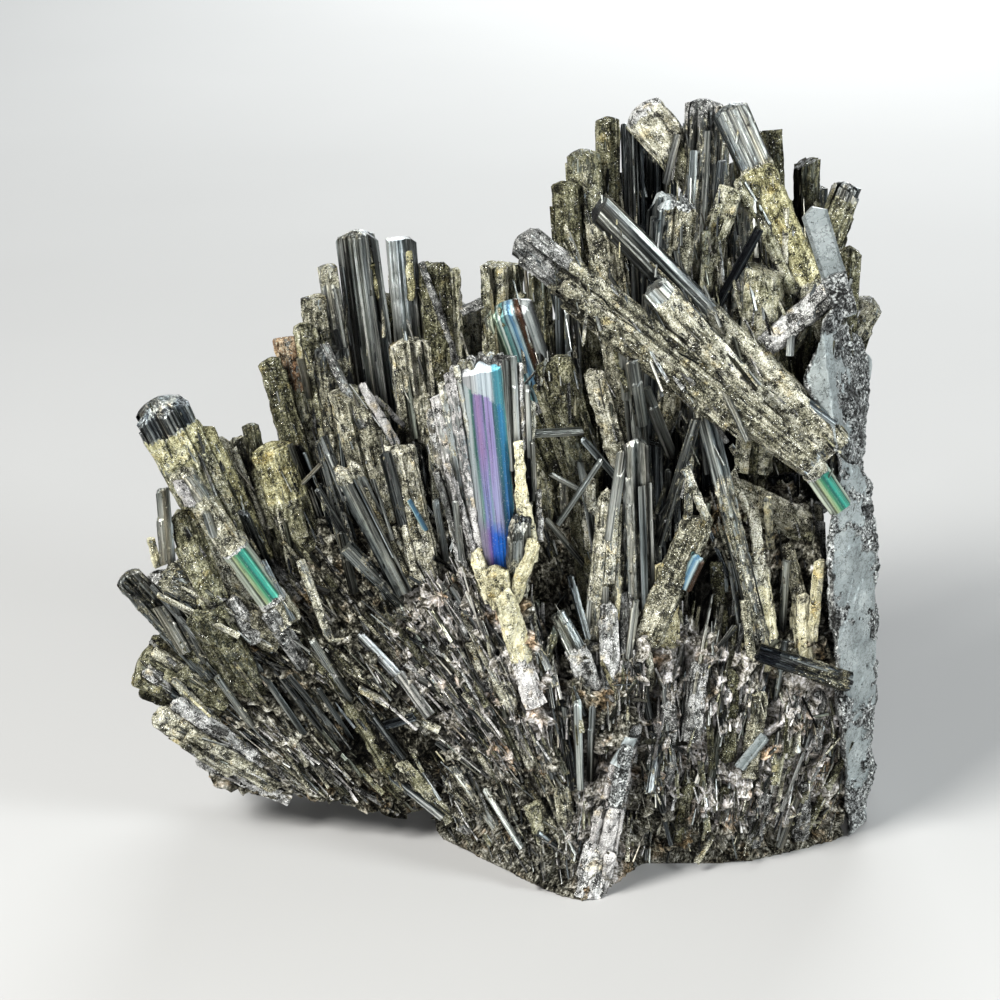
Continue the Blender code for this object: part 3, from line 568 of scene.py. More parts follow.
def tarnished(name, stops, zones=(), half=6.0, metal=0.6, edges=None):
    """Iridescent striped face: bands by the place across it; zones take over further along, (stops, t from, t to, lean)."""
    k = Net(name)
    loc, par = k.attr("loc"), k.attr("par")
    crust, shade, chance = k.split(par)
    s, f, t = k.split(loc)
    wob = k.noise(k.vmath("MULTIPLY", loc, (0.6, 0.6, 0.16)), 1.0, 3, 0.6)
    jag = k.noise(k.vmath("MULTIPLY", loc, (1.6, 1.6, 0.7)), 1.0, 4, 0.7)
    fine = k.noise(k.vmath("MULTIPLY", loc, (5.0, 5.0, 0.05)), 1.0, 4, 0.7)
    x = k.math("ADD", k.math("MULTIPLY", s, 0.5 / half), 0.5)
    x = k.math("ADD", x, k.math("MULTIPLY", k.math("SUBTRACT", wob, 0.5), 0.06))
    x = k.math("ADD", x, k.math("MULTIPLY", k.math("SUBTRACT", fine, 0.5), 0.030))
    col = k.ramp(x, stops)
    for more, a, b, lean in zones:
        tt = k.math("ADD", t, k.math("MULTIPLY", k.math("SUBTRACT", 0.6, x), lean))
        tt = k.math("ADD", tt, k.math("MULTIPLY", k.math("SUBTRACT", jag, 0.5), 3.2))
        col = k.mix(k.remap(tt, a, b), col, k.ramp(x, more))
    lines = k.ramp(fine, [(0.36, (0.22, 0.23, 0.24)), (0.46, (0.76, 0.78, 0.80)), (0.60, (1.0, 1.0, 1.0)), (0.70, (1.4, 1.4, 1.38))])
    col = k.mix(0.85, col, lines, "MULTIPLY")
    scratch = k.noise(k.vmath("MULTIPLY", loc, (3.2, 3.2, 1.8)), 1.8, 5, 0.75)
    col = k.mix(k.math("MULTIPLY", k.remap(scratch, 0.59, 0.65), 0.5), col, (0.40, 0.43, 0.42))
    dots = k.remap(k.noise(k.vmath("ADD", loc, (40.0, 3.0, 8.0)), 4.0, 4, 0.7), 0.63, 0.68)
    col = k.mix(k.math("MULTIPLY", dots, 0.75), col, (0.03, 0.03, 0.03))
    pos = k.vmath("ADD", loc, (3.0, 9.0, 5.0))
    ccol, high, speck = coat_colour(k, pos, chance, GREYS)
    edge_n = k.noise(pos, 1.5, 4, 0.65)
    mask = k.remap(k.math("ADD", k.math("MULTIPLY", crust, 1.25), k.math("MULTIPLY", k.math("SUBTRACT", edge_n, 0.5), 1.6)), 0.46, 0.58)
    base = k.mix(mask, col, ccol)
    base = k.mix(k.math("MULTIPLY", shade, 0.85), base, (0.006, 0.006, 0.006))
    k.link(base, k.bsdf.inputs["Base Color"])
    k.link(k.fmix(mask, metal, 0.1), k.bsdf.inputs["Metallic"])
    k.bsdf.inputs["Specular IOR Level"].default_value = 0.3
    k.link(k.fmix(mask, k.math("ADD", 0.26, k.math("MULTIPLY", fine, 0.24)), 0.75), k.bsdf.inputs["Roughness"])
    k.link(k.bump(k.fmix(mask, k.math("MULTIPLY", fine, 0.5), high), 0.7, 0.00016), k.bsdf.inputs["Normal"])
    return k.mat


def cleaved(name):
    """Satin blue grey cleavage with nicks where par.x is low, crushed grey grains where it is high."""
    k = Net(name)
    loc, par = k.attr("loc"), k.attr("par")
    crust, shade, chance = k.split(par)
    fine = k.noise(k.vmath("MULTIPLY", loc, (1.0, 1.0, 5.0)), 1.0, 4, 0.7)
    broad = k.noise(loc, 0.20, 3, 0.5)
    col = k.ramp(k.math("ADD", k.math("MULTIPLY", fine, 0.30), k.math("MULTIPLY", broad, 0.70)),
                 [(0.34, (0.155, 0.178, 0.178)), (0.5, (0.25, 0.283, 0.283)), (0.66, (0.38, 0.415, 0.41))])
    scr = k.noise(k.vmath("ADD", loc, (9.0, 2.0, 4.0)), 1.6, 5, 0.78)
    col = k.mix(k.remap(scr, 0.59, 0.63), col, (0.02, 0.021, 0.021))
    # pale flecks where scr is lowest: painted highlights
    col = k.mix(k.math("MULTIPLY", k.remap(scr, 0.36, 0.32), 0.7), col, (0.60, 0.62, 0.60))
    g = k.noise(loc, 2.6, 5, 0.78)
    d1, c1 = k.voronoi(loc, 3.6)
    p = k.noise(loc, 0.42, 4, 0.65)
    tone = k.math("ADD", k.math("ADD", k.math("MULTIPLY", g, 0.75), k.math("MULTIPLY", p, 0.45)), k.math("MULTIPLY", k.split(c1)[0], 0.20))
    rough = k.ramp(k.math("SUBTRACT", tone, 0.20),
                   [(0.37, (0.002, 0.002, 0.002)), (0.435, (0.016, 0.017, 0.016)), (0.49, (0.135, 0.143, 0.140)), (0.555, (0.38, 0.400, 0.392)), (0.64, (0.86, 0.89, 0.87))])
    m = k.remap(k.math("ADD", crust, k.math("MULTIPLY", k.math("SUBTRACT", g, 0.5), 1.1)), 0.40, 0.58)
    col = k.mix(m, col, rough)
    crack = k.math("ABSOLUTE", k.math("SUBTRACT", k.noise(k.vmath("ADD", loc, (4.0, 6.0, 1.0)), 0.55, 5, 0.68), 0.5))
    col = k.mix(k.math("MULTIPLY", k.remap(crack, 0.022, 0.006), k.fmix(m, 0.55, 0.9)), col, (0.004, 0.004, 0.004))
    col = k.mix(k.math("MULTIPLY", shade, 0.9), col, (0.006, 0.006, 0.006))
    k.link(col, k.bsdf.inputs["Base Color"])
    k.link(k.fmix(m, 0.35, 0.30), k.bsdf.inputs["Metallic"])
    k.bsdf.inputs["Specular IOR Level"].default_value = 0.3
    k.link(k.fmix(m, 0.40, 0.50), k.bsdf.inputs["Roughness"])
    k.link(k.bump(k.fmix(m, k.math("MULTIPLY", scr, 0.25), k.math("MULTIPLY", g, 1.6)), 1.0, 0.0004), k.bsdf.inputs["Normal"])
    return k.mat


def rooty(name):
    """Matted fibres and grains: dark metal, tan dirt and pale glints, with painted shade from par.y that turns the
    hollows black.
    """
    k = Net(name)
    loc, par = k.attr("loc"), k.attr("par")
    crust, shade, chance = k.split(par)
    place = k.vmath("MULTIPLY", k.node("ShaderNodeTexCoord").outputs["Object"], (1000.0, 1000.0, 1000.0))
    fib = k.noise(loc, 2.3, 5, 0.75)
    d1, c1 = k.voronoi(place, 2.9)
    d2, c2 = k.voronoi(k.vmath("ADD", loc, (5.0, 3.0, 1.0)), 5.2)
    p = k.noise(place, 0.45, 4, 0.65)
    tone = k.math("ADD", k.math("MULTIPLY", fib, 0.86), k.math("MULTIPLY", p, 0.46))
    tone = k.math("ADD", tone, k.math("ADD", k.math("MULTIPLY", k.split(c1)[0], 0.09), k.math("MULTIPLY", k.split(c2)[1], 0.10)))
    tone = k.math("ADD", k.math("SUBTRACT", tone, 0.250), k.math("MULTIPLY", k.math("SUBTRACT", crust, 0.5), 0.22))
    col = k.ramp(tone, [(0.35, (0.002, 0.002, 0.0017)), (0.425, (0.014, 0.013, 0.009)), (0.485, (0.066, 0.063, 0.047)), (0.54, (0.175, 0.169, 0.133)), (0.60, (0.35, 0.342, 0.288)),
                        (0.675, (0.60, 0.595, 0.54)), (0.76, (0.90, 0.90, 0.87))])
    col = k.mix(k.remap(crust, 0.6, 0.9), col, k.mix(1.0, col, (1.03, 1.0, 1.06), "MULTIPLY"))
    brown = k.noise(k.vmath("ADD", place, (31.0, 7.0, 3.0)), 0.22, 3, 0.6)
    col = k.mix(k.math("MULTIPLY", k.remap(brown, 0.54, 0.68), 0.7), col, k.mix(1.0, col, (1.0, 0.66, 0.34), "MULTIPLY"))
    # painted shade: par.y darkens recesses and hollows toward black
    col = k.mix(k.math("MULTIPLY", shade, 0.9), col, (0.004, 0.004, 0.004))
    k.link(col, k.bsdf.inputs["Base Color"])
    glint = k.remap(k.split(c2)[0], 0.86, 0.92)
    k.link(k.math("MULTIPLY", glint, 0.85), k.bsdf.inputs["Metallic"])
    k.bsdf.inputs["Specular IOR Level"].default_value = 0.05
    k.link(k.fmix(glint, 0.70, 0.28), k.bsdf.inputs["Roughness"])
    h = k.math("SUBTRACT", k.math("ADD", k.math("MULTIPLY", fib, 1.1), k.math("MULTIPLY", k.split(c1)[0], 0.2)), k.math("MULTIPLY", d1, 0.5))
    k.link(k.bump(h, 1.0, 0.0005), k.bsdf.inputs["Normal"])
    return k.mat


M_METAL = stibnite("stibnite_metal")
# dark and silver are darker and lighter copies of the one metal: the dark copy partly paints shade on crystals in gaps
# and behind others, the silver copy partly paints bright flashes of reflected light
M_DARK = stibnite("stibnite_dark", metal=((0.002, 0.002, 0.003), (0.010, 0.011, 0.013), (0.045, 0.050, 0.055), (0.30, 0.32, 0.33)), edge=0.55, rough=0.16)
M_SILVER = stibnite("stibnite_silver", metal=((0.010, 0.010, 0.010), (0.09, 0.094, 0.091), (0.34, 0.35, 0.34), (0.78, 0.79, 0.78)), edge=0.55, rough=0.2)
M_COAT = stibnite("stibnite_coated", edge=0.42)
M_CREAM = stibnite("stibnite_cream", edge=0.40, coat=CREAMS, pepper=-0.05)
M_OLIVE = stibnite("stibnite_olive", edge=0.42, coat=OLIVES, metal=((0.003, 0.003, 0.002), (0.030, 0.031, 0.024), (0.14, 0.145, 0.12), (0.50, 0.52, 0.46)))
M_CLEAVED = cleaved("cleaved_stibnite")
M_ROOT = rooty("fibrous_root")
BLADE = [(0.00, (0.20, 0.22, 0.22)), (0.06, (0.13, 0.17, 0.17)), (0.12, (0.24, 0.28, 0.28)), (0.19, (0.34, 0.38, 0.38)), (0.235, (0.08, 0.14, 0.13)), (0.27, (0.04, 0.13, 0.11)),
         (0.31, (0.17, 0.14, 0.27)), (0.37, (0.235, 0.155, 0.29)), (0.46, (0.21, 0.165, 0.33)), (0.495, (0.09, 0.15, 0.20)), (0.53, (0.27, 0.21, 0.40)), (0.65, (0.24, 0.22, 0.40)),
         (0.70, (0.06, 0.15, 0.17)), (0.76, (0.03, 0.12, 0.15)), (0.80, (0.03, 0.15, 0.28)), (0.88, (0.03, 0.17, 0.30)), (0.93, (0.08, 0.22, 0.20)), (1.0, (0.30, 0.31, 0.28))]
BLADE_MID = [(0.00, (0.30, 0.30, 0.30)), (0.08, (0.20, 0.23, 0.23)), (0.20, (0.32, 0.34, 0.36)), (0.29, (0.10, 0.20, 0.17)), (0.33, (0.17, 0.20, 0.36)), (0.44, (0.20, 0.22, 0.42)),
             (0.49, (0.14, 0.22, 0.26)), (0.54, (0.28, 0.27, 0.46)), (0.66, (0.26, 0.28, 0.42)), (0.71, (0.03, 0.06, 0.09)), (0.76, (0.02, 0.08, 0.12)), (0.80, (0.035, 0.13, 0.32)),
             (0.90, (0.04, 0.17, 0.33)), (0.94, (0.06, 0.20, 0.16)), (1.0, (0.26, 0.27, 0.22))]
BLADE_FOOT = [(0.00, (0.30, 0.30, 0.31)), (0.14, (0.20, 0.20, 0.23)), (0.30, (0.19, 0.16, 0.25)), (0.37, (0.16, 0.10, 0.30)), (0.42, (0.03, 0.09, 0.42)), (0.56, (0.014, 0.12, 0.54)),
              (0.66, (0.012, 0.13, 0.50)), (0.70, (0.02, 0.05, 0.14)), (0.74, (0.012, 0.08, 0.40)), (0.88, (0.012, 0.12, 0.40)), (0.93, (0.03, 0.22, 0.16)), (1.0, (0.10, 0.20, 0.10))]
BLADE_TIP = [(0.0, (0.22, 0.22, 0.22)), (0.28, (0.30, 0.31, 0.31)), (0.38, (0.38, 0.41, 0.42)), (0.42, (0.40, 0.46, 0.49)), (0.70, (0.42, 0.48, 0.51)), (0.735, (0.10, 0.20, 0.22)),
             (0.78, (0.05, 0.19, 0.24)), (0.92, (0.06, 0.22, 0.26)), (0.96, (0.20, 0.26, 0.22)), (1.0, (0.40, 0.41, 0.38))]


def turned(stops):
    """Stops read left to right on the face; the crystal's s runs the other way."""
    return [(round(1 - p, 4), c) for p, c in reversed(stops)]


M_BLADE = tarnished("tarnished_blade", turned(BLADE), [(turned(BLADE_MID), 22.5, 15.5, 0.0), (turned(BLADE_FOOT), 12.8, 10.6, 3.0), (turned(BLADE_TIP), 30.6, 31.0, 5.0)], 3.1)
STRIPED = [(0.0, (0.20, 0.21, 0.18)), (0.04, (0.03, 0.03, 0.02)), (0.08, (0.34, 0.37, 0.28)), (0.11, (0.02, 0.03, 0.02)), (0.15, (0.44, 0.48, 0.36)),
           (0.185, (0.02, 0.04, 0.02)), (0.225, (0.40, 0.50, 0.38)), (0.255, (0.02, 0.08, 0.06)), (0.30, (0.58, 0.66, 0.60)), (0.335, (0.03, 0.12, 0.12)),
           (0.375, (0.16, 0.34, 0.33)), (0.41, (0.02, 0.03, 0.04)), (0.45, (0.30, 0.44, 0.46)), (0.49, (0.06, 0.16, 0.26)), (0.535, (0.14, 0.27, 0.38)), (0.57, (0.40, 0.52, 0.54)),
           (0.61, (0.02, 0.015, 0.01)), (0.68, (0.07, 0.032, 0.015)), (0.72, (0.02, 0.01, 0.01)), (0.76, (0.50, 0.53, 0.51)), (0.84, (0.36, 0.39, 0.38)), (0.90, (0.04, 0.04, 0.04)),
           (1.0, (0.34, 0.35, 0.32))]
M_STRIPED = tarnished("tarnished_companion", turned(STRIPED), half=3.7, metal=0.45)
GREEN = [(0.0, (0.45, 0.48, 0.40)), (0.12, (0.50, 0.55, 0.45)), (0.25, (0.05, 0.06, 0.04)), (0.32, (0.30, 0.36, 0.20)), (0.46, (0.05, 0.22, 0.12)), (0.56, (0.02, 0.10, 0.08)),
         (0.66, (0.03, 0.26, 0.20)), (0.76, (0.08, 0.36, 0.26)), (0.84, (0.02, 0.05, 0.04)), (0.9, (0.38, 0.46, 0.36)), (1.0, (0.5, 0.54, 0.46))]
M_GREEN = tarnished("tarnished_green", turned(GREEN), half=1.9, metal=0.5)
M_GREY = stibnite("stibnite_grey_crust", edge=0.42, coat=GREYS, metal=((0.006, 0.006, 0.006), (0.06, 0.062, 0.062), (0.26, 0.265, 0.26), (0.80, 0.81, 0.80)), pepper=0.02)
M_PALE = stibnite("stibnite_pale_crust", edge=0.40, coat=PALES, metal=((0.03, 0.03, 0.03), (0.16, 0.16, 0.158), (0.40, 0.40, 0.395), (0.80, 0.80, 0.78)), pepper=-0.03)
M_YELLOW = stibnite("stibnite_yellow", edge=0.40, coat=YELLOWS, pepper=-0.02)
M_RUST = stibnite("stibnite_rusty", edge=0.40, coat=RUSTS)
MATS = [M_METAL, M_DARK, M_SILVER, M_COAT, M_CREAM, M_OLIVE, M_CLEAVED, M_ROOT, M_BLADE, M_STRIPED, M_GREEN, M_GREY, M_PALE, M_YELLOW, M_RUST]

# ------------------------------------------------------------- the big crystals
# node: list of (spec as (tip, foot, tip width, foot width, thickness share, roll, cap), looks)
BIG = {
    "iridescent_companion": [(((507, 300, 19), (566, 470, 23), 58, 50, 0.6, 12, 0.12),
                              dict(mat=[(0, 0.62, STRIPE), (0.62, 1, OLIVE)], term="round", crust=[(0.0, 0.04, 0.5), (0.55, 1, 0.75)], laths=12, groove=0.05, rods=5, outline=FLAT, rod_mat=OLIVE))],
    "coated_companion": [(((549, 358, 16), (600, 520, 21), 46, 40, 0.7, -8, 0.1), dict(mat=OLIVE, crust=[(0, 0.35, 0.75), (0.35, 1, 0.5)], term="broken", rods=8))],
    "coated_rod_centre": [(((594, 370, 13), (637, 520, 17), 25, 24, 0.8, 20, 0.07), dict(mat=COAT, crust=0.85, term="broken", rods=5))],
    "flat_topped_rod": [(((630, 360, 12), (650, 560, 15), 22, 26, 0.9, 5, 0.03), dict(mat=SILVER, crust=[(0.5, 1, 0.5)], term="flat", capslope=0.1, laths=9, groove=0.07, rods=4))],
    "silver_rod": [(((636, 438, 7.5), (642, 640, 10), 28, 32, 0.7, 0, 0.1), dict(mat=SILVER, shade=lambda t, s, f: np.clip((t - 0.982) / 0.01, 0, 1) * 0.6, crust=[(0.3, 1, 0.42)], term="point", laths=9, rods=9, groove=0.12))],
    "trunk_column": [(((612, 486, 9.5), (600, 640, 10), 30, 40, 0.8, 15, 0.06), dict(mat=COAT, crust=0.6, term="rough", rods=10))],
    "centre_bundle": [(((582, 470, 18), (600, 620, 17.5), 36, 40, 0.8, 0, 0.05), dict(fine=False, shade=0.45, mat=OLIVE, crust=0.8, rods=5)),
                      (((612, 446, 19.5), (622, 620, 19), 36, 40, 0.8, 20, 0.05), dict(fine=False, shade=0.45, mat=DARK, crust=0.3, rods=6)),
                      (((646, 436, 21), (652, 620, 20.5), 38, 40, 0.8, 0, 0.05), dict(fine=False, mat=DARK, crust=0.1, rods=6)),
                      (((678, 426, 22), (680, 620, 21), 36, 38, 0.8, 10, 0.05), dict(fine=False, mat=DARK, crust=0.4, rods=6))],
    "long_blade": [(((700, 398, 9), (764, 650, 12), 24, 17, 0.45, 0, 0.05), dict(mat=METAL, crust=[(0, 0.08, 0.7), (0.3, 1, 0.55)], term="rough", laths=9, rods=10, rod_w=(0.12, 0.3), rod_mat=SILVER))],
    "tan_leaning_rod": [(((700, 517, 7.5), (646, 640, 9), 29, 32, 0.75, 0, 0.03), dict(mat=COAT, crust=0.95, term="flat", rods=3, outline=BOX))],
    "recess_block": [(((752, 548, 14), (764, 668, 13), 30, 32, 0.8, 12, 0.04), dict(mat=[(0, 0.3, COAT), (0.3, 1, CREAM)], crust=0.9, term="rough", rods=5))],
    "recess_column": [(((800, 590, 16), (804, 668, 15), 25, 26, 0.8, -10, 0.05), dict(mat=CREAM, crust=0.8, rods=4))],
    "recess_bundle": [(((722, 420, 25), (718, 630, 23), 38, 38, 0.8, 0, 0.05), dict(fine=False, shade=0.45, mat=DARK, crust=0.2, rods=7)),
                      (((752, 452, 26), (750, 630, 24), 38, 38, 0.8, 15, 0.05), dict(fine=False, shade=0.45, mat=OLIVE, crust=0.6, rods=7)),
                      (((782, 470, 26), (780, 630, 24), 38, 38, 0.8, 0, 0.05), dict(fine=False, mat=DARK, crust=0.3, rods=7)),
                      (((808, 500, 25), (806, 630, 23), 34, 36, 0.8, 10, 0.05), dict(fine=False, shade=0.45, mat=COAT, crust=0.7, rods=6))],
    "dark_lying_rod": [(((757, 652, 7), (850, 683, 9.5), 19, 22, 0.8, 0, 0.04), dict(mat=[(0, 0.22, DARK), (0.22, 1, METAL)], crust=[(0.4, 1, 0.55)], term="flat", rods=4))],
    "diagonal_long": [(((517, 237, 6), (812, 462, 9), 40, 34, 0.85, 0, 0.08), dict(mat=[(0, 0.14, GREY), (0.14, 1, COAT)], crust=[(0, 0.16, 0.62), (0.16, 1.0, 0.85)], term="round", rods=12, laths=8, rod_w=(0.1, 0.24))),
                      (((557, 284, 4), (742, 428, 7.5), 30, 26, 0.8, 15, 0.06), dict(mat=COAT, crust=0.85, term="slant", rods=8, laths=7))],
    "diagonal_steel": [(((597, 204, 12), (836, 446, 14), 28, 36, 0.85, 20, 0.04),
                        dict(mat=[(0, 0.5, METAL), (0.5, 1, COAT)], crust=[(0.44, 1, 0.95)], term="slant", laths=7, groove=0.03, rods=1, short=0.15, rod_w=(0.08, 0.14), outline=BOX,
                             shade=lambda t, s, f: np.maximum(np.clip((s - 0.10) / 0.05, 0, 1) * 0.85, 0.34) * (t > 0.47)))],
    "diagonal_short": [(((650, 283, 7.5), (756, 402, 9.5), 32, 34, 0.8, 0, 0.05), dict(mat=[(0, 0.12, SILVER), (0.12, 1, COAT)], crust=[(0.12, 1, 0.92)], term="broken", rods=7))],
    "crown_dome": [(((704, 98, 33), (682, 520, 31), 46, 38, 0.8, 0, 0.05), dict(mat=[(0, 0.05, GREY), (0.05, 1, METAL)], crust=[(0, 0.05, 0.6), (0.05, 1, 0.45)], term="round", laths=12, rods=12, groove=0.11, rod_mat=SILVER))],
    "crown_yellow": [(((727, 103, 30), (838, 348, 24), 38, 30, 0.75, 8, 0.07),
                      dict(mat=[(0, 0.255, METAL), (0.255, 0.72, YELLOW), (0.72, 1, COAT)], crust=[(0, 0.255, 0.25), (0.255, 0.72, 1.1), (0.72, 1, 0.8)], term="round", laths=9, groove=0.05, rods=2, short=0.25,
                           shade=lambda t, s, f: np.clip((s - 0.36) / 0.05, 0, 1) * 0.6 * (t > 0.74)))],
    "crown_broken": [(((673, 190, 20), (652, 500, 25), 46, 36, 0.8, 0, 0.02), dict(mat=[(0, 0.05, CLEAVE), (0.05, 1, COAT)], crust="right", term="rough", rough_end=0.16, laths=12, rods=4, outline=BOX, rod_mat=METAL, roll=-12)),
                     (((732, 186, 24), (676, 360, 24), 26, 28, 0.8, 0, 0.05), dict(mat=OLIVE, crust=0.8, rods=8, term="broken"))],
    "crown_slanting_block": [(((637, 105, 36), (700, 180, 34.5), 46, 42, 0.8, 0, 0.12), dict(mat=[(0, 0.12, GREY), (0.12, 0.55, COAT), (0.55, 1, OLIVE)], crust=0.8, term="round", rods=4, laths=6))],
    "crown_dark": [(((630, 122, 41), (642, 520, 37), 26, 30, 0.9, 20, 0.03), dict(mat=DARK, crust=0.15, term="flat", rods=6))],
    "crown_left_column": [(((608, 116, 38), (612, 520, 36), 26, 30, 0.85, 0, 0.04), dict(mat=OLIVE, crust=0.65, term="round", rods=8))],
    "crown_left_pair": [(((583, 148, 35), (594, 520, 33), 38, 34, 0.8, 0, 0.05), dict(mat=OLIVE, crust=[(0, 0.06, 0.5), (0.06, 1, 0.8)], term="round", rods=7)),
                        (((565, 180, 32), (582, 520, 31), 30, 28, 0.8, 10, 0.06), dict(mat=OLIVE, crust=0.8, term="round", rods=6))],
    "crown_cream": [(((602, 216, 24), (640, 520, 26), 36, 30, 0.75, 0, 0.06), dict(mat=COAT, crust=0.8, term="broken", rods=8))],
    "crown_right_column": [(((769, 129, 38), (786, 480, 33), 30, 30, 0.85, 0, 0.04), dict(mat=OLIVE, crust=0.6, term="flat", rods=6))],
    "crown_right_olive": [(((806, 158, 40), (800, 480, 36), 36, 34, 0.8, 0, 0.06), dict(mat=OLIVE, crust=0.45, term="left", rods=5))],
    "crown_outlier": [(((850, 181, 34), (806, 300, 31), 34, 32, 0.8, 0, 0.05), dict(mat=[(0, 0.16, METAL), (0.16, 1, OLIVE)], crust=[(0.12, 1, 0.55)], term="broken", rods=6))],
    "crown_block": [(((764, 266, 22), (752, 470, 22), 42, 40, 0.85, 15, 0.03), dict(mat=OLIVE, crust=0.7, term="slant", capslope=0.3, rods=6))],
    "right_stub": [(((872, 298, 26), (836, 362, 27), 38, 34, 0.8, 0, 0.12), dict(mat=COAT, crust=0.6, term="chisel", rods=6)),
                   (((850, 246, 24), (842, 350, 25), 24, 28, 0.8, 0, 0.12), dict(mat=OLIVE, crust=0.6, term="chisel", rods=5))],
    "crown_rear_bundle": [(((596, 192, 43.5), (602, 500, 42), 42, 42, 0.8, 0, 0.05), dict(fine=False, mat=OLIVE, crust=0.7, rods=7)),
                          (((630, 168, 46), (634, 500, 44), 44, 44, 0.8, 15, 0.06), dict(fine=False, mat=DARK, crust=0.3, rods=7)),
                          (((668, 204, 48), (668, 500, 45), 48, 46, 0.8, 0, 0.05), dict(fine=False, mat=METAL, crust=0.3, rods=7)),
                          (((708, 134, 46), (702, 500, 43.5), 46, 44, 0.8, 10, 0.06), dict(fine=False, mat=COAT, crust=0.6, rods=7)),
                          (((748, 156, 48), (738, 500, 45), 44, 46, 0.8, 0, 0.05), dict(fine=False, mat=METAL, crust=0.45, rods=7)),
                          (((784, 196, 46), (774, 500, 43), 46, 44, 0.8, 15, 0.06), dict(fine=False, mat=OLIVE, crust=0.6, rods=7)),
                          (((814, 182, 45), (806, 500, 42), 38, 40, 0.8, 0, 0.05), dict(fine=False, mat=METAL, crust=0.4, rods=7))],
    "back_left_tall": [(((356, 229, 37), (392, 500, 34), 48, 50, 0.75, 0, 0.10),
                        dict(mat=SILVER, crust=[(0, 0.04, 0.45), (0.04, 1, 0.12)], term="round", laths=16, groove=0.07, rods=7, short=0.3, rod_mat=METAL, rod_w=(0.1, 0.2),
                                shade=lambda t, s, f: np.clip((-s - 0.02) / 0.1, 0, 1) * 0.55 + np.clip((s - 0.33) / 0.05, 0, 1) * 0.5)),
                       (((326, 262, 36), (366, 500, 33.5), 24, 26, 0.9, 0, 0.07), dict(mat=METAL, crust=[(0, 0.1, 0.6), (0.1, 1, 0.3)], rods=5))],
    "left_rear_bundle": [(((306, 346, 37), (346, 500, 36), 42, 44, 0.8, 0, 0.06), dict(fine=False, mat=OLIVE, crust=0.7, rods=6)),
                         (((338, 316, 43), (376, 500, 40.5), 42, 44, 0.8, 15, 0.06), dict(fine=False, mat=METAL, crust=0.3, rods=6)),
                         (((384, 290, 47), (410, 500, 43), 44, 46, 0.8, 0, 0.05), dict(fine=False, mat=OLIVE, crust=0.6, rods=6)),
                         (((422, 284, 48), (442, 500, 44), 44, 44, 0.8, 10, 0.06), dict(fine=False, mat=DARK, crust=0.3, rods=6)),
                         (((462, 300, 47), (474, 510, 43.5), 44, 44, 0.8, 0, 0.05), dict(fine=False, mat=COAT, crust=0.6, rods=6)),
                         (((500, 304, 45), (508, 520, 42), 42, 44, 0.8, 15, 0.06), dict(fine=False, mat=METAL, crust=0.4, rods=6)),
                         (((536, 312, 43), (544, 520, 41), 42, 44, 0.8, 0, 0.05), dict(fine=False, mat=OLIVE, crust=0.6, rods=6))],
    "back_left_square": [(((401, 237, 42), (424, 500, 38), 32, 32, 0.85, 0, 0.02), dict(mat=SILVER, crust="patch", term="flat", capslope=0.1, laths=9, groove=0.06, rods=3, outline=BOX, rod_mat=METAL,
                                  shade=lambda t, s, f: np.clip((-s - 0.06) / 0.05, 0, 1) * 0.8 * (f < 0.3)))],
    "back_left_olive": [(((434, 259, 40), (448, 500, 36), 34, 34, 0.8, 0, 0.05), dict(mat=OLIVE, crust=0.8, term="broken", rods=7)),
                        (((450, 267, 40), (461, 500, 37), 20, 24, 0.9, 0, 0.05), dict(mat=OLIVE, crust=0.85, term="broken", rods=5))],
    "back_centre": [(((504, 262, 37), (512, 540, 33), 50, 46, 0.8, 0, 0.05), dict(mat=OLIVE, crust=0.6, term="flat", rods=9, laths=12, groove=0.13))],
    "back_centre_column": [(((541, 268, 34), (552, 540, 31), 26, 30, 0.85, 0, 0.05), dict(mat=OLIVE, crust=0.5, rods=6)),
                           (((567, 274, 27), (574, 540, 28), 28, 28, 0.8, 0, 0.04), dict(mat=SILVER, crust=[(0, 0.05, 0.6), (0.35, 1, 0.5)], laths=12, groove=0.12, rods=8, term="broken"))],
    "left_shoulder_group": [(((312, 295, 33), (340, 500, 31), 28, 28, 0.85, 0, 0.05), dict(mat=COAT, crust=0.7, term="flat", rods=6)),
                            (((303, 322, 29), (334, 500, 29), 26, 28, 0.85, 0, 0.08), dict(mat=OLIVE, crust=0.95, term="round", rods=5)),
                            (((284, 336, 30), (322, 510, 28), 28, 28, 0.8, 0, 0.06), dict(mat=[(0, 0.3, RUST), (0.3, 1, OLIVE)], crust=0.6, term="flat", rods=6, rod_mat=OLIVE)),
                            (((270, 357, 27), (312, 510, 26), 26, 28, 0.8, 0, 0.08), dict(mat=OLIVE, crust=0.8, term="round", rods=6))],
    "left_flat_block": [(((332, 347, 27), (348, 510, 26), 40, 38, 0.8, 0, 0.03), dict(mat=[(0, 0.1, METAL), (0.1, 1, COAT)], crust=[(0.05, 1, 0.6)], term="flat", capslope=0.15, rods=7, laths=10, groove=0.13))],
    "middle_rounded_block": [(((408, 336, 29), (426, 500, 27), 48, 44, 0.8, 0, 0.08), dict(mat=COAT, crust=0.75, term="round", rods=8, laths=10, groove=0.14))],
    "tilted_top_block": [(((356, 388, 22), (386, 520, 22), 58, 50, 0.7, 0, 0.05), dict(mat=COAT, crust=0.8, term="right", capslope=0.45, rods=8, laths=9, groove=0.13))],
    "left_tip_crystal": [(((154, 399, 15), (254, 590, 21), 66, 52, 0.75, 0, 0.12),
                          dict(mat=[(0, 0.035, METAL), (0.035, 0.14, DARK), (0.14, 0.30, YELLOW), (0.30, 0.70, OLIVE), (0.70, 1, COAT)], crust=[(0, 0.125, 0.2), (0.14, 0.31, 0.66), (0.31, 1, 0.70)], term="round", laths=9, groove=0.07, rods=3)),
                         (((200, 424, 17.5), (262, 560, 21), 26, 30, 0.8, 0, 0.08), dict(mat=YELLOW, crust=0.75, term="rough", rods=3, laths=5))],
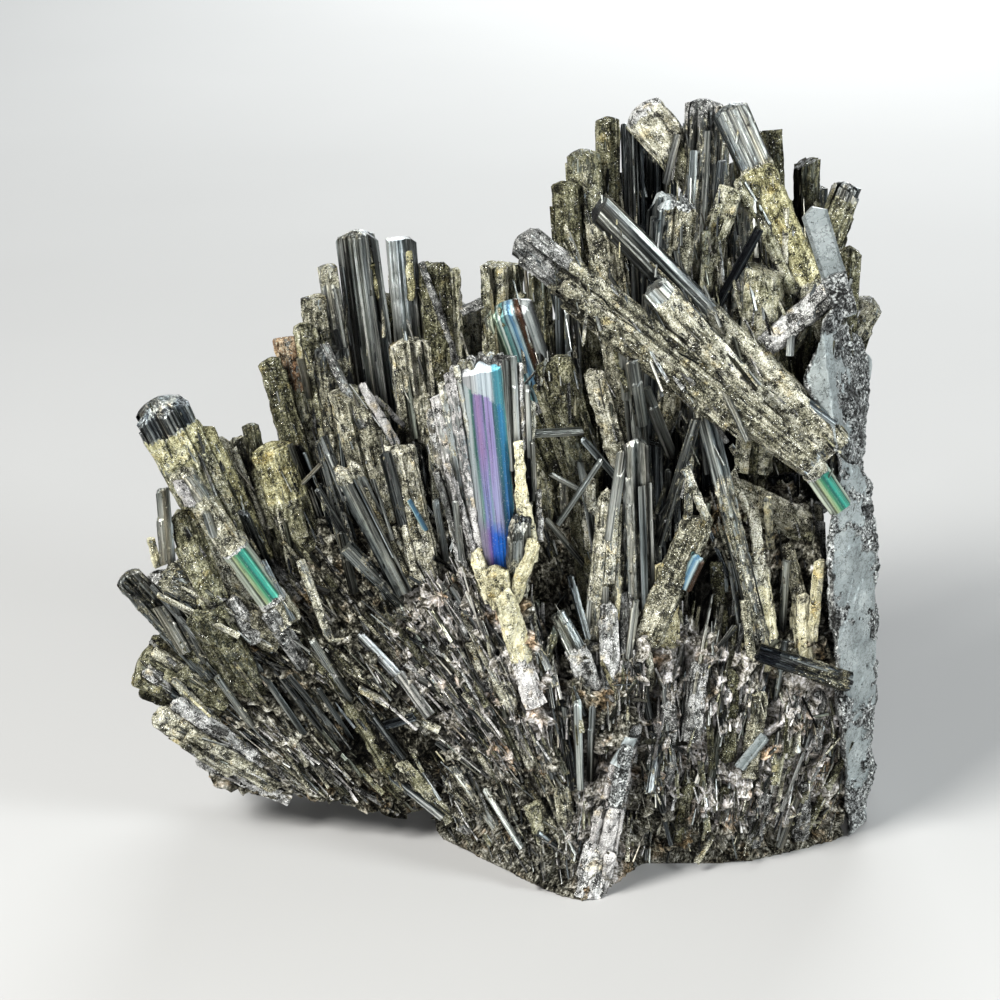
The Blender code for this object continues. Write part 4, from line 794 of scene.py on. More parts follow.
    "left_bundle": [(((190, 514, 22.5), (262, 622, 24), 48, 54, 0.7, 0, 0.1), dict(mat=OLIVE, crust=0.75, term="rough", rods=6)),
                    (((172, 560, 20.5), (244, 640, 23), 42, 52, 0.7, 0, 0.1), dict(mat=COAT, crust=0.6, term="rough", rods=6)),
                    (((268, 442, 22), (312, 580, 22.5), 50, 46, 0.8, 0, 0.06), dict(mat=[(0, 0.4, YELLOW), (0.4, 1, OLIVE)], crust=0.85, term="round", rods=7)),
                    (((249, 423, 24), (286, 580, 24), 18, 24, 0.9, 0, 0.08), dict(mat=OLIVE, crust=0.5, term="round", rods=4)),
                    (((214, 434, 21.5), (270, 580, 22.5), 32, 34, 0.8, 10, 0.06), dict(mat=COAT, crust=0.7, term="rough", rods=9)),
                    (((232, 436, 24.5), (290, 580, 25), 26, 30, 0.8, 0, 0.06), dict(mat=COAT, crust=0.6, term="rough", rods=8)),
                    (((292, 444, 25), (340, 580, 24.5), 22, 34, 0.8, 0, 0.06), dict(mat=METAL, crust=0.2, term="broken", rods=8, rod_mat=SILVER))],
    "left_prong": [(((124, 574, 13), (214, 672, 17), 33, 32, 0.8, 0, 0.1), dict(mat=SILVER, crust=[(0, 0.2, 0.45), (0.2, 1, 0.45)], term="round", rods=5, laths=9, rod_mat=METAL)),
                   (((150, 572, 14), (222, 640, 18), 30, 34, 0.8, 10, 0.1), dict(mat=[(0, 0.3, GREY), (0.3, 1, COAT)], crust=0.7, term="rough", rods=3))],
    "left_coated_prong": [(((158, 572, 11), (280, 640, 14.5), 34, 34, 0.75, 0, 0.08), dict(mat=COAT, crust=[(0, 0.35, 0.55), (0.35, 1, 0.95)], term="rough", rods=7))],
    "left_round_crust": [(((140, 656, 15), (222, 704, 19), 62, 44, 0.7, 0, 0.2), dict(mat=OLIVE, crust=0.9, term="round", rods=5))],
    "left_lower_rod": [(((153, 713, 14), (236, 764, 18), 30, 34, 0.8, 0, 0.08), dict(mat=COAT, crust=0.75, term="broken", rods=8))],
    "striated_rod_left": [(((344, 462, 13), (408, 590, 15), 34, 30, 0.7, 0, 0.06), dict(mat=METAL, crust=[(0, 0.14, 0.75)], term="rough", laths=13, groove=0.08, rods=5, short=0.2))],
    "grey_rod_left": [(((318, 440, 18), (352, 560, 18.5), 20, 22, 0.8, 0, 0.08), dict(mat=METAL, crust=0.35, term="point", rods=6))],
    "dull_column": [(((396, 440, 16), (426, 580, 15), 36, 36, 0.8, 0, 0.06), dict(mat=COAT, crust=0.75, term="rough", rods=8))],
    "tangle_bundle": [(((330, 476, 23.5), (366, 600, 22), 40, 40, 0.8, 0, 0.05), dict(mat=DARK, crust=0.35, rods=7)),
                      (((368, 450, 24), (396, 600, 22), 40, 42, 0.8, 15, 0.06), dict(mat=COAT, crust=0.6, rods=7)),
                      (((408, 440, 24), (430, 600, 22), 42, 42, 0.8, 0, 0.05), dict(mat=DARK, crust=0.4, rods=7)),
                      (((442, 430, 22.5), (456, 600, 20), 36, 38, 0.8, 10, 0.06), dict(mat=COAT, crust=0.6, rods=7))],
    "rear_crystal_a": [((A(-25, 64, 54), A(-12, 46, 20), 60, 50, 0.8, 20, 0.08), dict(fine=False, mat=METAL, crust=[(0.3, 1, 0.6)], term="chisel", rods=9, laths=12))],
    "rear_crystal_b": [((A(2, 68, 66), A(5, 48, 20), 54, 54, 0.8, 10, 0.06), dict(fine=False, mat=OLIVE, crust=0.6, term="round", rods=9, laths=11))],
    "rear_crystal_c": [((A(22, 70, 74), A(18, 49, 20), 66, 56, 0.7, 0, 0.08), dict(fine=False, mat=METAL, crust=[(0.45, 1, 0.7)], term="round", rods=10, laths=14))],
    "rear_crystal_d": [((A(45, 66, 64), A(35, 48, 20), 54, 54, 0.8, 15, 0.06), dict(fine=False, mat=COAT, crust=0.55, term="slant", rods=9, laths=12))],
    "rear_fan": [((A(-14, 66, 47), A(-4, 50, 16), 56, 60, 0.8, 0, 0.08), dict(fine=False, mat=COAT, crust=0.7, rods=8)),
                 ((A(12, 71, 50), A(9, 51, 14), 58, 62, 0.8, 15, 0.08), dict(fine=False, mat=METAL, crust=0.4, rods=9)),
                 ((A(33, 69, 48), A(26, 51, 14), 56, 60, 0.8, 0, 0.08), dict(fine=False, mat=OLIVE, crust=0.7, rods=8)),
                 ((A(0, 68, 36), A(3, 51, 10), 60, 66, 0.8, 0, 0.08), dict(fine=False, mat=OLIVE, crust=0.7, rods=8)),
                 ((A(24, 68, 34), A(18, 52, 10), 60, 66, 0.8, 10, 0.08), dict(fine=False, mat=COAT, crust=0.7, rods=8))],
}


def right_side(T, s, f):
    """Crust on the right half, bare striae on the left."""
    return np.clip(0.5 - s * 2.6 + 0.25, 0, 1) * np.clip((1 - T) / 0.03, 0.0, 1)


def patch(T, s, f):
    """A streak of crust down the right of the front face."""
    return ((s < -0.05) & (s > -0.34) & (f < 0) & (T < 0.93) & (T > 0.80)) * 1.0


CUSTOM = {"right": right_side, "patch": patch}
pieces, raw = {}, []
for i, (node, items) in enumerate(BIG.items()):
    B = Buf()
    for j, (spec, kw) in enumerate(items):
        kw = dict(kw)
        if isinstance(kw.get("crust"), str):
            kw["crust"] = CUSTOM[kw["crust"]]
        bundle(B, spec, seed=101 + i * 13 + j * 3, **kw)
    pieces[node] = B

# ------------------------------------------------------- the tarnished front blade
D = DIV
B = Buf()
crystal(B, P(479, 357, 4.3), P(503, 603, 7.4), 48 * D, 38 * D, 0.30, 2, term="front", capslope=0.22, laths=1, groove=0.010, short=0.0,
        crust=lambda T, s, f: np.clip((s - 0.40) / 0.07, 0, 1) * 0.6 + np.clip((-s - 0.43) / 0.05, 0, 1) * 0.6 + np.clip((T - 0.955) / 0.02, 0, 1) * 0.8,
        shade=lambda t, s, f: np.clip((t - 0.968) / 0.01, 0, 1) * 0.85,
        seed=7, mat=[(0, 0.012, GREY), (0.012, 1, BLADEM)], outline=FLAT, m=30, n=56, rough_end=0.04)
for k, (u0, v0, u1, v1, w, y, mt) in enumerate([  # columns on the left of the blade
        (437, 394, 468, 556, 17, 5.4, PALEM), (444, 381, 474, 560, 15, 4.7, SILVER), (450, 372, 480, 562, 13, 4.0, PALEM), (456, 366, 484, 520, 6, 3.5, SILVER),
        (431, 408, 461, 560, 15, 6.6, GREY), (446, 462, 476, 562, 12, 3.9, PALEM), (436, 470, 466, 566, 12, 4.8, GREY)]):
    crystal(B, P(u0, v0, y), P(u1, v1, y + 2.6), w * D, w * 0.75 * D, 0.8, 12 * k, term=("slant", "round", "broken")[k % 3], laths=6, groove=0.08,
            crust=[(0, 0.12, 0.75), (0.12, 0.7, 0.45), (0.7, 1, 0.8)], seed=40 + k, mat=mt)
for k, (u0, v0, u1, v1, w, y, mt, cr) in enumerate([  # and on its right
        (505, 358, 512, 470, 9, 4.1, SILVER, 0.15), (513, 356, 518, 480, 9, 4.0, SILVER, 0.2), (520, 362, 523, 450, 8, 4.3, GREY, 0.5), (526, 384, 529, 462, 9, 4.6, SILVER, 0.1),
        (532, 442, 535, 500, 7, 5.0, SILVER, 0.15), (528, 458, 529, 500, 9, 5.6, DARK, 0.0), (538, 490, 540, 540, 8, 6.0, GREY, 0.6)]):
    crystal(B, P(u0, v0, y), P(u1, v1, y + 1.6), w * D, w * D, 0.8, 9 * k, term=("slant", "flat", "broken")[k % 3], laths=5, groove=0.08, crust=cr, seed=60 + k, mat=mt)
for k, (u0, v0, u1, v1, w, y) in enumerate([(455, 366, 452, 392, 10, 5.0), (463, 360, 462, 384, 10, 4.4), (471, 354, 472, 378, 11, 4.6), (480, 351, 482, 374, 11, 4.8), (490, 351, 491, 372, 11, 4.8),
                                             (499, 352, 500, 370, 11, 4.8), (508, 354, 508, 376, 10, 4.6), (468, 358, 474, 372, 8, 3.9), (484, 356, 489, 364, 8, 3.8), (459, 372, 461, 388, 8, 3.9)]):
    crystal(B, P(u0, v0, y), P(u1, v1, y + 0.6), w * D, w * D, 0.8, 31 * k, term="rough", laths=4, groove=0.08, crust=0.6, seed=160 + k, mat=(GREY, SILVER, GREY)[k % 3])
crystal(B, P(518, 438, 3.9), P(523, 520, 4.9), 11 * D, 14 * D, 0.8, 10, term="rough", rough_end=0.3, laths=4, crust=0.95, seed=69, mat=CREAM)
crystal(B, P(526, 500, 4.3), P(531, 560, 6.4), 14 * D, 16 * D, 0.8, 10, term="rough", rough_end=0.2, laths=4, crust=0.9, seed=70, mat=CREAM)
crystal(B, P(518, 516, 3.4), P(515, 592, 6.2), 27 * D, 24 * D, 0.8, 14, term="front", capslope=0.75, rough_end=0.06, laths=7, groove=0.09,
        crust=[(0, 0.10, 0.3), (0.1, 0.5, 0.25), (0.5, 1, 0.6)], seed=73, mat=[(0, 0.07, DARK), (0.07, 1, SILVER)], outline=HEX)
crystal(B, P(535, 538, 3.1), P(510, 606, 4.9), 14 * D, 16 * D, 0.85, 10, term="rough", laths=4, crust=1.0, seed=74, mat=CREAM)
crystal(B, P(494, 562, 4.6), P(503, 606, 5.0), 32 * D, 28 * D, 0.8, 10, term="rough", rough_end=0.2, laths=5, crust=1.0, seed=76, mat=CREAM)
crystal(B, P(474, 548, 5.6), P(492, 600, 6.4), 14 * D, 20 * D, 0.8, 10, term="rough", laths=4, crust=1.0, seed=78, mat=CREAM)
bundle(B, ((492, 372, 7.2), (505, 640, 9.6), 84, 42, 0.36, 0, 0.09), seed=75, rods=8, mat=COAT, crust=0.6, term="rough", laths=14, rod_w=(0.05, 0.16))
pieces["iridescent_blade"] = B

B = Buf()
bundle(B, ((176, 470, 9.5), (288, 622, 13), 28, 30, 0.8, 0, 0.05), seed=81, rods=5, spread=0.8,
       mat=[(0, 0.05, COAT), (0.05, 0.18, SILVER), (0.18, 0.5, COAT), (0.5, 0.86, GREENM), (0.86, 1, COAT)],
       crust=[(0, 0.06, 0.9), (0.06, 0.2, 0.4), (0.2, 0.52, 0.9), (0.84, 1, 0.9)], term="broken", laths=8, groove=0.07, rod_mat=COAT, outline=FLAT)
pieces["left_slender_crystal"] = B

B = Buf()
crystal(B, P(812, 206, 18.0), P(846, 316, 17.0), 27 * D, 24 * D, 0.5, 0, term="chisel", laths=1, groove=0.02, short=0.0, crust=[(0.6, 1.0, 0.8)], seed=91, shade=lambda t, s, f: 0.30 + 0 * t,
        mat=CLEAVE, outline=FLAT, m=24, rough_end=0.02)
pieces["cleaved_slab"] = B


# ------------------------------------------------------------ root mass and wall
def remeshed(node, voxel):
    """The node's solid as an even mesh: points in layout mm, quads, outward normals."""
    me = NODES[node].data.copy()
    ob = bpy.data.objects.new("scratch", me)
    bpy.context.scene.collection.objects.link(ob)
    mod = ob.modifiers.new("even", "REMESH")
    mod.mode, mod.voxel_size, mod.adaptivity = "VOXEL", voxel, 0.0
    out = bpy.data.meshes.new_from_object(ob.evaluated_get(bpy.context.evaluated_depsgraph_get()))
    n, m = len(out.vertices), len(out.polygons)
    co = np.zeros(n * 3)
    out.vertices.foreach_get("co", co)
    no = np.zeros(n * 3)
    out.vertex_normals.foreach_get("vector", no)
    ix = np.zeros(m * 4, np.int32)
    out.loops.foreach_get("vertex_index", ix)
    bpy.data.objects.remove(ob)
    bpy.data.meshes.remove(out)
    bpy.data.meshes.remove(me)
    return co.reshape(-1, 3) * 1000.0 + SHIFT, ix.reshape(-1, 4), no.reshape(-1, 3)


FAN = A(12.0, 28.0, -5.0)
FEET = 0.35          # the lowest layer stays flat so that the part rests on it

# hollows in the front of the root: u, v, half sizes, turn of the long axis, depth in mm
HOLLOWS = [(150, 643, 9, 5, 0, 2.5), (166, 655, 11, 5, 40, 3.0), (436, 766, 7, 34, 4, 3.5), (583, 752, 17, 32, -8, 3.2), (712, 590, 15, 33, 12, 4.0),
           (360, 742, 10, 24, -30, 2.4), (300, 700, 8, 22, -40, 2.2), (240, 690, 7, 20, -45, 2.2), (470, 742, 7, 26, -22, 2.6), (520, 770, 6, 24, -18, 2.2),
           (545, 720, 7, 26, -6, 2.6), (655, 690, 8, 26, 8, 2.6), (690, 664, 7, 22, 14, 2.4), (770, 700, 9, 18, 30, 2.4), (400, 690, 8, 22, -28, 2.4),
           (345, 650, 7, 20, -35, 2.2), (215, 640, 8, 16, -50, 2.2), (560, 690, 8, 20, 4, 2.8), (735, 745, 8, 16, -20, 2.0), (640, 820, 5, 16, 10, 1.6)]


def hollow(p, no):
    """How deep each root point lies in one of the hollows, seen from the front."""
    u, v, d = sheet(p)
    front = np.clip((-(no @ VIEW) - 0.05) / 0.3, 0, 1)
    out = np.zeros(len(p))
    for u0, v0, a, b, turn, deep in HOLLOWS:
        r = math.radians(turn)
        x, y = u - u0, v - v0
        # the long half size b lies along the turned vertical
        across, along = x * math.cos(r) + y * math.sin(r), y * math.cos(r) - x * math.sin(r)
        q = np.hypot(across / a, along / b)
        out = np.maximum(out, np.clip(1.35 - q, 0, 1) * deep)
    return out * front


co, quads, nor = remeshed("root_mass", 0.00068)
rel = co - FAN
dist = np.linalg.norm(rel, axis=1)
way = rel / dist[:, None]
fib = fbm(np.concatenate([way * 30.0 + dist[:, None] * 0.035], 0), 11, 3)
fib2 = vnoise(way * 62.0 + dist[:, None] * 0.09, 12)
lump = fbm(co * 0.19, 13, 3)
grain = fbm(co * 1.15, 14, 2)
pits = np.clip((fbm(way * 16.0 + dist[:, None] * 0.09, 15, 2) - 0.60) / 0.12, 0, 1)
hol = hollow(co, nor)


def broken_rods(way, dist, across, along, seed):
    """Heights of broken rods that stand side by side: each rod ends where its own chance says."""
    warp = np.stack([vnoise(way * across * 0.6 + 7.0 * i_, seed + i_) for i_ in range(3)], 1) - 0.5
    c = np.floor(way * across + warp * 1.5).astype(np.int64)
    h = hash01(c[:, 0], c[:, 1], c[:, 2], seed + 5)
    j = np.floor(dist * along * (0.6 + 0.8 * h) + h * 9).astype(np.int64)
    return hash01(c[:, 0] + 31 * j, c[:, 1], c[:, 2], seed + 6)


rod1, rod2 = broken_rods(way, dist, 24.0, 0.12, 31), broken_rods(way, dist, 50.0, 0.20, 51)
move = (rod1 - 0.72) * 2.5 + (rod2 - 0.6) * 1.3 + (fib - 0.55) * 1.7 + (fib2 - 0.5) * 0.6 + (lump - 0.55) * 2.4 + (grain - 0.5) * 0.6 - pits * 1.2 - hol
move = np.clip(move, -4.6, 0.75)
ground = np.clip((co[:, 2] - FEET) / 1.2, 0, 1)
new = co + nor * (move * ground)[:, None]
new[:, 2] = np.maximum(new[:, 2], np.minimum(co[:, 2], 0.0))
B = Buf()
# painted shade: darker where the surface sinks deep, in pits and hollows, and between low fibres
shade = np.clip(np.clip((-move - 1.5) / 1.6, 0, 1) * 0.75 + pits * 0.25 + hol / 2.2 + np.clip((0.42 - fib) / 0.15, 0, 1) * 0.3, 0, 1)
floc = way * 36.0 + dist[:, None] * 0.07
light = np.full(len(new), 0.42)
u, v, d = sheet(new)
for u0, v0, ru, rv, turn, add in [(478, 665, 78, 124, -28, 0.50), (600, 830, 34, 90, 5, 0.40), (520, 835, 60, 40, 30, 0.16), (240, 745, 90, 40, 24, 0.22), (632, 650, 50, 70, 4, 0.25),
                                  (700, 690, 60, 60, 0, 0.50), (800, 720, 50, 60, 0, 0.50), (745, 770, 110, 60, 0, 0.56), (660, 620, 40, 40, 0, 0.1), (400, 780, 60, 40, 30, -0.2), (350, 720, 50, 40, 30, -0.2)]:
    r = math.radians(turn)
    x, y = u - u0, v - v0
    q = np.hypot((x * math.cos(r) + y * math.sin(r)) / ru, (y * math.cos(r) - x * math.sin(r)) / rv)
    light += np.clip(1.25 - q, 0, 0.5) * 2 * add
light = np.clip(light + (fbm(co * 0.28, 61, 2) - 0.5) * 0.5, 0, 1)
B.add(new, quads, np.zeros((0, 3), int), floc, np.stack([light, shade, fib], 1), ROOT)
pieces["root_mass"] = B

PATCHES = [[(832, 500), (868, 497), (870, 524), (838, 530)], [(836, 534), (862, 532), (877, 560), (881, 612), (856, 624), (838, 584)],
           [(806, 336), (842, 328), (852, 380), (850, 440), (824, 446), (810, 390)], [(840, 626), (878, 618), (882, 700), (856, 722), (840, 676)],
           [(736, 742), (758, 736), (764, 762), (742, 770)], [(844, 458), (866, 460), (870, 488), (848, 494)], [(838, 736), (872, 728), (872, 782), (848, 790)]]


def inside(u, v, poly):
    out = np.zeros(len(u), bool)
    for (x0, y0), (x1, y1) in zip(poly, poly[1:] + poly[:1]):
        hit = ((y0 > v) != (y1 > v)) & (u < (x1 - x0) * (v - y0) / ((y1 - y0) or 1e-9) + x0)
        out ^= hit
    return out


co, quads, nor = remeshed("right_wall", 0.00050)
u, v, d = sheet(co)
wob = (fbm(co * 0.55, 21, 5) - 0.5) * 46
smooth = np.zeros(len(co))
for poly in PATCHES:
    smooth = np.maximum(smooth, inside(u + wob, v + wob * 0.7, poly) * 1.0)
smooth *= np.clip((-(nor @ VIEW) - 0.2) / 0.2, 0, 1)
side_on = np.clip((nor @ RIGHT - 0.5) / 0.15, 0, 1)                # satin sheets on the far side, long up the wall
side_on *= np.clip((co[:, 1] - co[:, 1].min() - 15) / 2, 0, 1)
smooth = np.maximum(smooth, side_on * np.clip((fbm(co * A(0.30, 0.16, 0.055), 27, 4) - 0.515) / 0.012, 0, 1))
lump = fbm(co * 0.30, 22, 3)
blocky = np.round(fbm(co * 0.22, 23, 2) * 9) / 9
grain = fbm(co * 1.3, 24, 3)
move = (lump - 0.55) * 1.6 + (blocky - 0.55) * 1.8 + (grain - 0.5) * 0.8
move = move * (1 - smooth) + smooth * (np.round((fbm(co * 0.12, 25, 2)) * 7) / 7 - 0.6) * 0.9
move = np.clip(move - 0.7 * np.clip((nor @ RIGHT - 0.4) / 0.3, 0, 1), -2.5, 0.5)
new = co + nor * (move * np.clip((co[:, 2] - FEET) / 1.2, 0, 1))[:, None]
B = Buf()
# par.y is painted shade: darker where the lumps sink low, none on the satin patches
B.add(new, quads, np.zeros((0, 3), int), new, np.stack([1 - smooth, np.clip((0.40 - lump) / 0.08, 0, 1) * (1 - smooth) * 0.8, lump], 1), CLEAVE)
pieces["right_wall"] = B


# ---------------------------------------------------- rods that the photograph tells
# tip u, v, y; foot u, v, y; width in divisions, material, crust, end
DETAIL = [
    (162, 486, 8.6, 168, 562, 11.5, 17, SILVER, 0.35, "rough"), (177, 480, 8.0, 190, 504, 9.0, 12, PALEM, 1.0, "slant"),
    (200, 608, 17.5, 250, 690, 20, 44, OLIVE, 0.6, "rough"), (150, 634, 16.5, 210, 680, 19.5, 36, OLIVE, 0.7, "rough"),
    (371, 262, 36.2, 381, 300, 36.0, 9, YELLOW, 1.0, "rough"), (409, 250, 39.7, 412, 300, 39.4, 8, YELLOW, 1.0, "rough"), (366, 236, 36.4, 372, 262, 36.2, 6, OLIVE, 0.8, "rough"), (150, 538, 10.6, 158, 566, 12, 9, CREAM, 0.6, "slant"), (206, 512, 9.4, 214, 536, 10.4, 9, SILVER, 0.3, "flat"),
    (243, 512, 10.5, 266, 566, 13.5, 16, DARK, 0.1, "slant"), (300, 358, 25, 310, 398, 26, 9, SILVER, 0.2, "slant"), (421, 262, 36.5, 443, 322, 36.5, 8, GREY, 0.7, "flat"),
    (460, 312, 34, 482, 303, 35, 11, GREY, 0.7, "flat"), (361, 383, 19, 396, 444, 21, 9, PALEM, 0.8, "slant"), (375, 398, 19, 404, 426, 21, 6, PALEM, 0.7, "slant"),
    (441, 316, 26, 460, 372, 25, 7, GREY, 0.7, "point"), (290, 444, 20, 305, 482, 21, 8, SILVER, 0.1, "slant"), (302, 484, 19, 322, 463, 21, 6, SILVER, 0.0, "flat"),
    (550, 274, 27, 558, 312, 29, 9, SILVER, 0.1, "flat"), (560, 280, 27, 566, 350, 29, 10, SILVER, 0.15, "broken"), (622, 338, 11, 626, 400, 14, 9, SILVER, 0.2, "flat"),
    (645, 388, 8, 672, 456, 11, 14, SILVER, 0.05, "slant"), (632, 360, 8.5, 642, 424, 11, 16, METAL, 0.05, "flat"), (623, 450, 8, 610, 540, 10, 12, SILVER, 0.15, "point"),
    (697, 418, 12, 658, 545, 14, 11, METAL, 0.35, "slant"), (684, 468, 9, 707, 520, 12, 10, COAT, 0.6, "flat"), (698, 556, 8, 684, 586, 10, 19, STRIPE, 0.2, "flat"),
    (589, 478, 13.5, 592, 548, 15, 17, COAT, 0.7, "round"), (767, 498, 12, 771, 550, 14, 9, CREAM, 0.5, "slant"), (556, 612, 6.5, 594, 690, 9.5, 23, SILVER, 0.2, "front"),
    (384, 726, 8.2, 432, 712, 9.5, 11, DARK, 0.15, "flat"), (358, 634, 9.4, 402, 680, 9.6, 12, SILVER, 0.15, "point"), (398, 672, 8.6, 430, 716, 9.6, 13, SILVER, 0.1, "slant"),
    (252, 658, 11, 304, 734, 12, 8, SILVER, 0.1, "slant"), (270, 664, 11, 334, 746, 11, 9, METAL, 0.15, "slant"), (234, 662, 11.5, 268, 708, 12.4, 5, CREAM, 0.4, "flat"),
    (345, 546, 12, 402, 604, 13.5, 18, METAL, 0.35, "slant"), (317, 488, 15.5, 362, 564, 17.5, 10, METAL, 0.2, "point"), (322, 436, 16, 347, 500, 17.5, 13, METAL, 0.25, "slant"),
    (385, 452, 13.5, 404, 524, 15.5, 14, METAL, 0.2, "flat"), (409, 500, 12.5, 426, 530, 13.8, 6, STRIPE, 0.0, "flat"), (340, 532, 13.5, 354, 592, 15, 10, SILVER, 0.15, "point"),
    (528, 434, 8.0, 582, 431, 12, 9, SILVER, 0.0, "flat"), (602, 459, 10, 558, 524, 13, 7, SILVER, 0.0, "point"), (582, 438, 10.5, 622, 484, 13.5, 8, SILVER, 0.1, "point"),
    (551, 474, 11, 584, 492, 12.5, 6, SILVER, 0.0, "flat"), (546, 518, 12.5, 584, 564, 14.5, 7, METAL, 0.05, "point"), (423, 732, 7.8, 429, 802, 8, 6, METAL, 0.1, "flat"),
    (484, 788, 3.5, 522, 848, 4.5, 7, SILVER, 0.2, "point"), (766, 735, 5, 740, 768, 7, 13, SILVER, 0.3, "slant"), (745, 182, 25, 770, 224, 25, 4, SILVER, 0.0, "flat"),
    (738, 178, 26, 794, 292, 24, 14, OLIVE, 0.8, "slant"), (632, 126, 36, 668, 166, 35, 4, SILVER, 0.0, "flat"), (678, 134, 31, 666, 184, 30, 9, METAL, 0.2, "flat"),
    (760, 228, 21, 718, 304, 21, 12, DARK, 0.1, "flat"), (836, 288, 20, 764, 346, 20, 26, GREY, 0.7, "slant"), (628, 744, 4.6, 600, 872, 1.4, 15, CLEAVE, 0.9, "broken"),
    (722, 160, 27, 712, 250, 26, 9, METAL, 0.2, "slant"), (694, 150, 30, 690, 230, 27, 8, SILVER, 0.15, "flat"), (660, 196, 19.5, 652, 290, 20, 10, METAL, 0.1, "broken"),
    (590, 600, 8, 586, 655, 9.5, 6, SILVER, 0.1, "flat"), (619, 576, 7, 615, 640, 8.8, 7, CREAM, 0.4, "flat"), (606, 586, 7, 604, 650, 8.8, 7, SILVER, 0.1, "point"),
    (655, 560, 7, 650, 640, 9, 9, SILVER, 0.3, "point"), (636, 600, 7, 628, 664, 9, 8, METAL, 0.2, "slant"), (570, 575, 9, 588, 640, 10.5, 8, METAL, 0.2, "point"),
    (577, 700, 7.5, 580, 790, 9.5, 9, METAL, 0.1, "flat"), (592, 706, 7.5, 590, 780, 9.5, 8, SILVER, 0.1, "point"), (565, 706, 7.8, 572, 780, 9.5, 8, METAL, 0.2, "slant"),
    (436, 500, 13, 446, 560, 14, 9, SILVER, 0.2, "slant"), (455, 500, 12, 462, 560, 13, 8, METAL, 0.2, "point"), (372, 478, 14.5, 392, 540, 16, 7, SILVER, 0.1, "slant"),
    (262, 560, 11.5, 292, 620, 13, 9, METAL, 0.3, "flat"), (300, 560, 13.5, 330, 640, 14.5, 10, COAT, 0.6, "flat"), (312, 640, 11, 352, 700, 12, 10, METAL, 0.3, "slant"),
    (186, 620, 12, 218, 668, 14, 9, METAL, 0.2, "slant"), (200, 604, 12.5, 226, 650, 14, 8, SILVER, 0.2, "flat"), (172, 680, 13.5, 222, 728, 15.5, 10, COAT, 0.6, "flat"),
    (216, 676, 12, 252, 726, 13, 8, METAL, 0.3, "slant"), (288, 676, 10.8, 344, 742, 11, 8, METAL, 0.25, "flat"), (318, 688, 10, 352, 740, 10.6, 6, SILVER, 0.05, "point"),
    (846, 205, 33, 836, 240, 32, 6, METAL, 0.1, "flat"), (676, 250, 19, 690, 330, 20, 9, METAL, 0.2, "slant"), (706, 230, 22, 702, 320, 22, 10, OLIVE, 0.5, "flat"),
    (730, 330, 17, 745, 380, 18, 8, METAL, 0.2, "slant"), (690, 440, 11, 688, 520, 13, 9, COAT, 0.6, "rough"), (668, 470, 10.5, 664, 540, 12.5, 8, METAL, 0.1, "flat"),
    (756, 440, 15, 748, 520, 17, 10, OLIVE, 0.5, "flat"), (786, 560, 13, 782, 630, 14.5, 9, METAL, 0.3, "slant"), (820, 560, 13.5, 812, 640, 15, 12, CREAM, 0.7, "flat"),
    (730, 560, 13.5, 742, 640, 14, 8, METAL, 0.3, "slant"), (744, 600, 12, 752, 660, 12.5, 10, COAT, 0.7, "flat"), (786, 640, 10, 776, 700, 10.5, 9, METAL, 0.3, "flat"),
    (176, 506, 12.5, 214, 604, 14.5, 34, OLIVE, 0.7, "rough"),
]
def look_up():
    """A tree of everything built so far, for rays, and the piece each face belongs to."""
    vs, fs_, own, n0 = [], [], [], 0
    for i_, b_ in enumerate(pieces.values()):
        vs.append(np.concatenate(b_.v))
        f_ = ([np.concatenate(b_.q)[:, [0, 1, 2]], np.concatenate(b_.q)[:, [0, 2, 3]]] if b_.q else []) + ([np.concatenate(b_.t)] if b_.t else [])
        f_ = np.concatenate(f_)
        fs_.append(f_ + n0)
        own.append(np.full(len(f_), i_))
        n0 += len(vs[-1])
    return BVHTree.FromPolygons(np.concatenate(vs).tolist(), np.concatenate(fs_).tolist(), all_triangles=True), np.concatenate(own)


def sight(u, v):
    """Way from the eye through a place on the sheet."""
    return unit(A(0, O_Y, O_Z) + RIGHT * (u - 500) * DIV + UPS * (500 - v) * DIV - EYE_POS)


def depth_at(u, v, other):
    hit = tree.ray_cast(Vector(EYE_POS), Vector(sight(u, v)))[0]
    return hit[1] if hit is not None else other


def apart(p):
    """How far a point is from the pieces, nought inside one."""
    near_, nrm_, i_, far_ = tree.find_nearest(Vector(p))
    return 0.0 if (Vector(p) - near_).dot(nrm_) < 0 else far_


def settle(u0, v0, y0, u1, v1, y1, w):
    """Both depths moved together, by as little as it takes for a single crystal to touch what it grows on."""
    for k in range(28):
        for go in (0.3 * k, -0.3 * k):
            a, b = P(u0, v0, y0 + go), P(u1, v1, y1 + go)
            if min(apart(a + (b - a) * q) for q in (0.04, 0.2, 0.35, 0.5, 0.65, 0.8, 0.96)) < 0.38 * w * D:
                return y0 + go, y1 + go
    return y0, y1


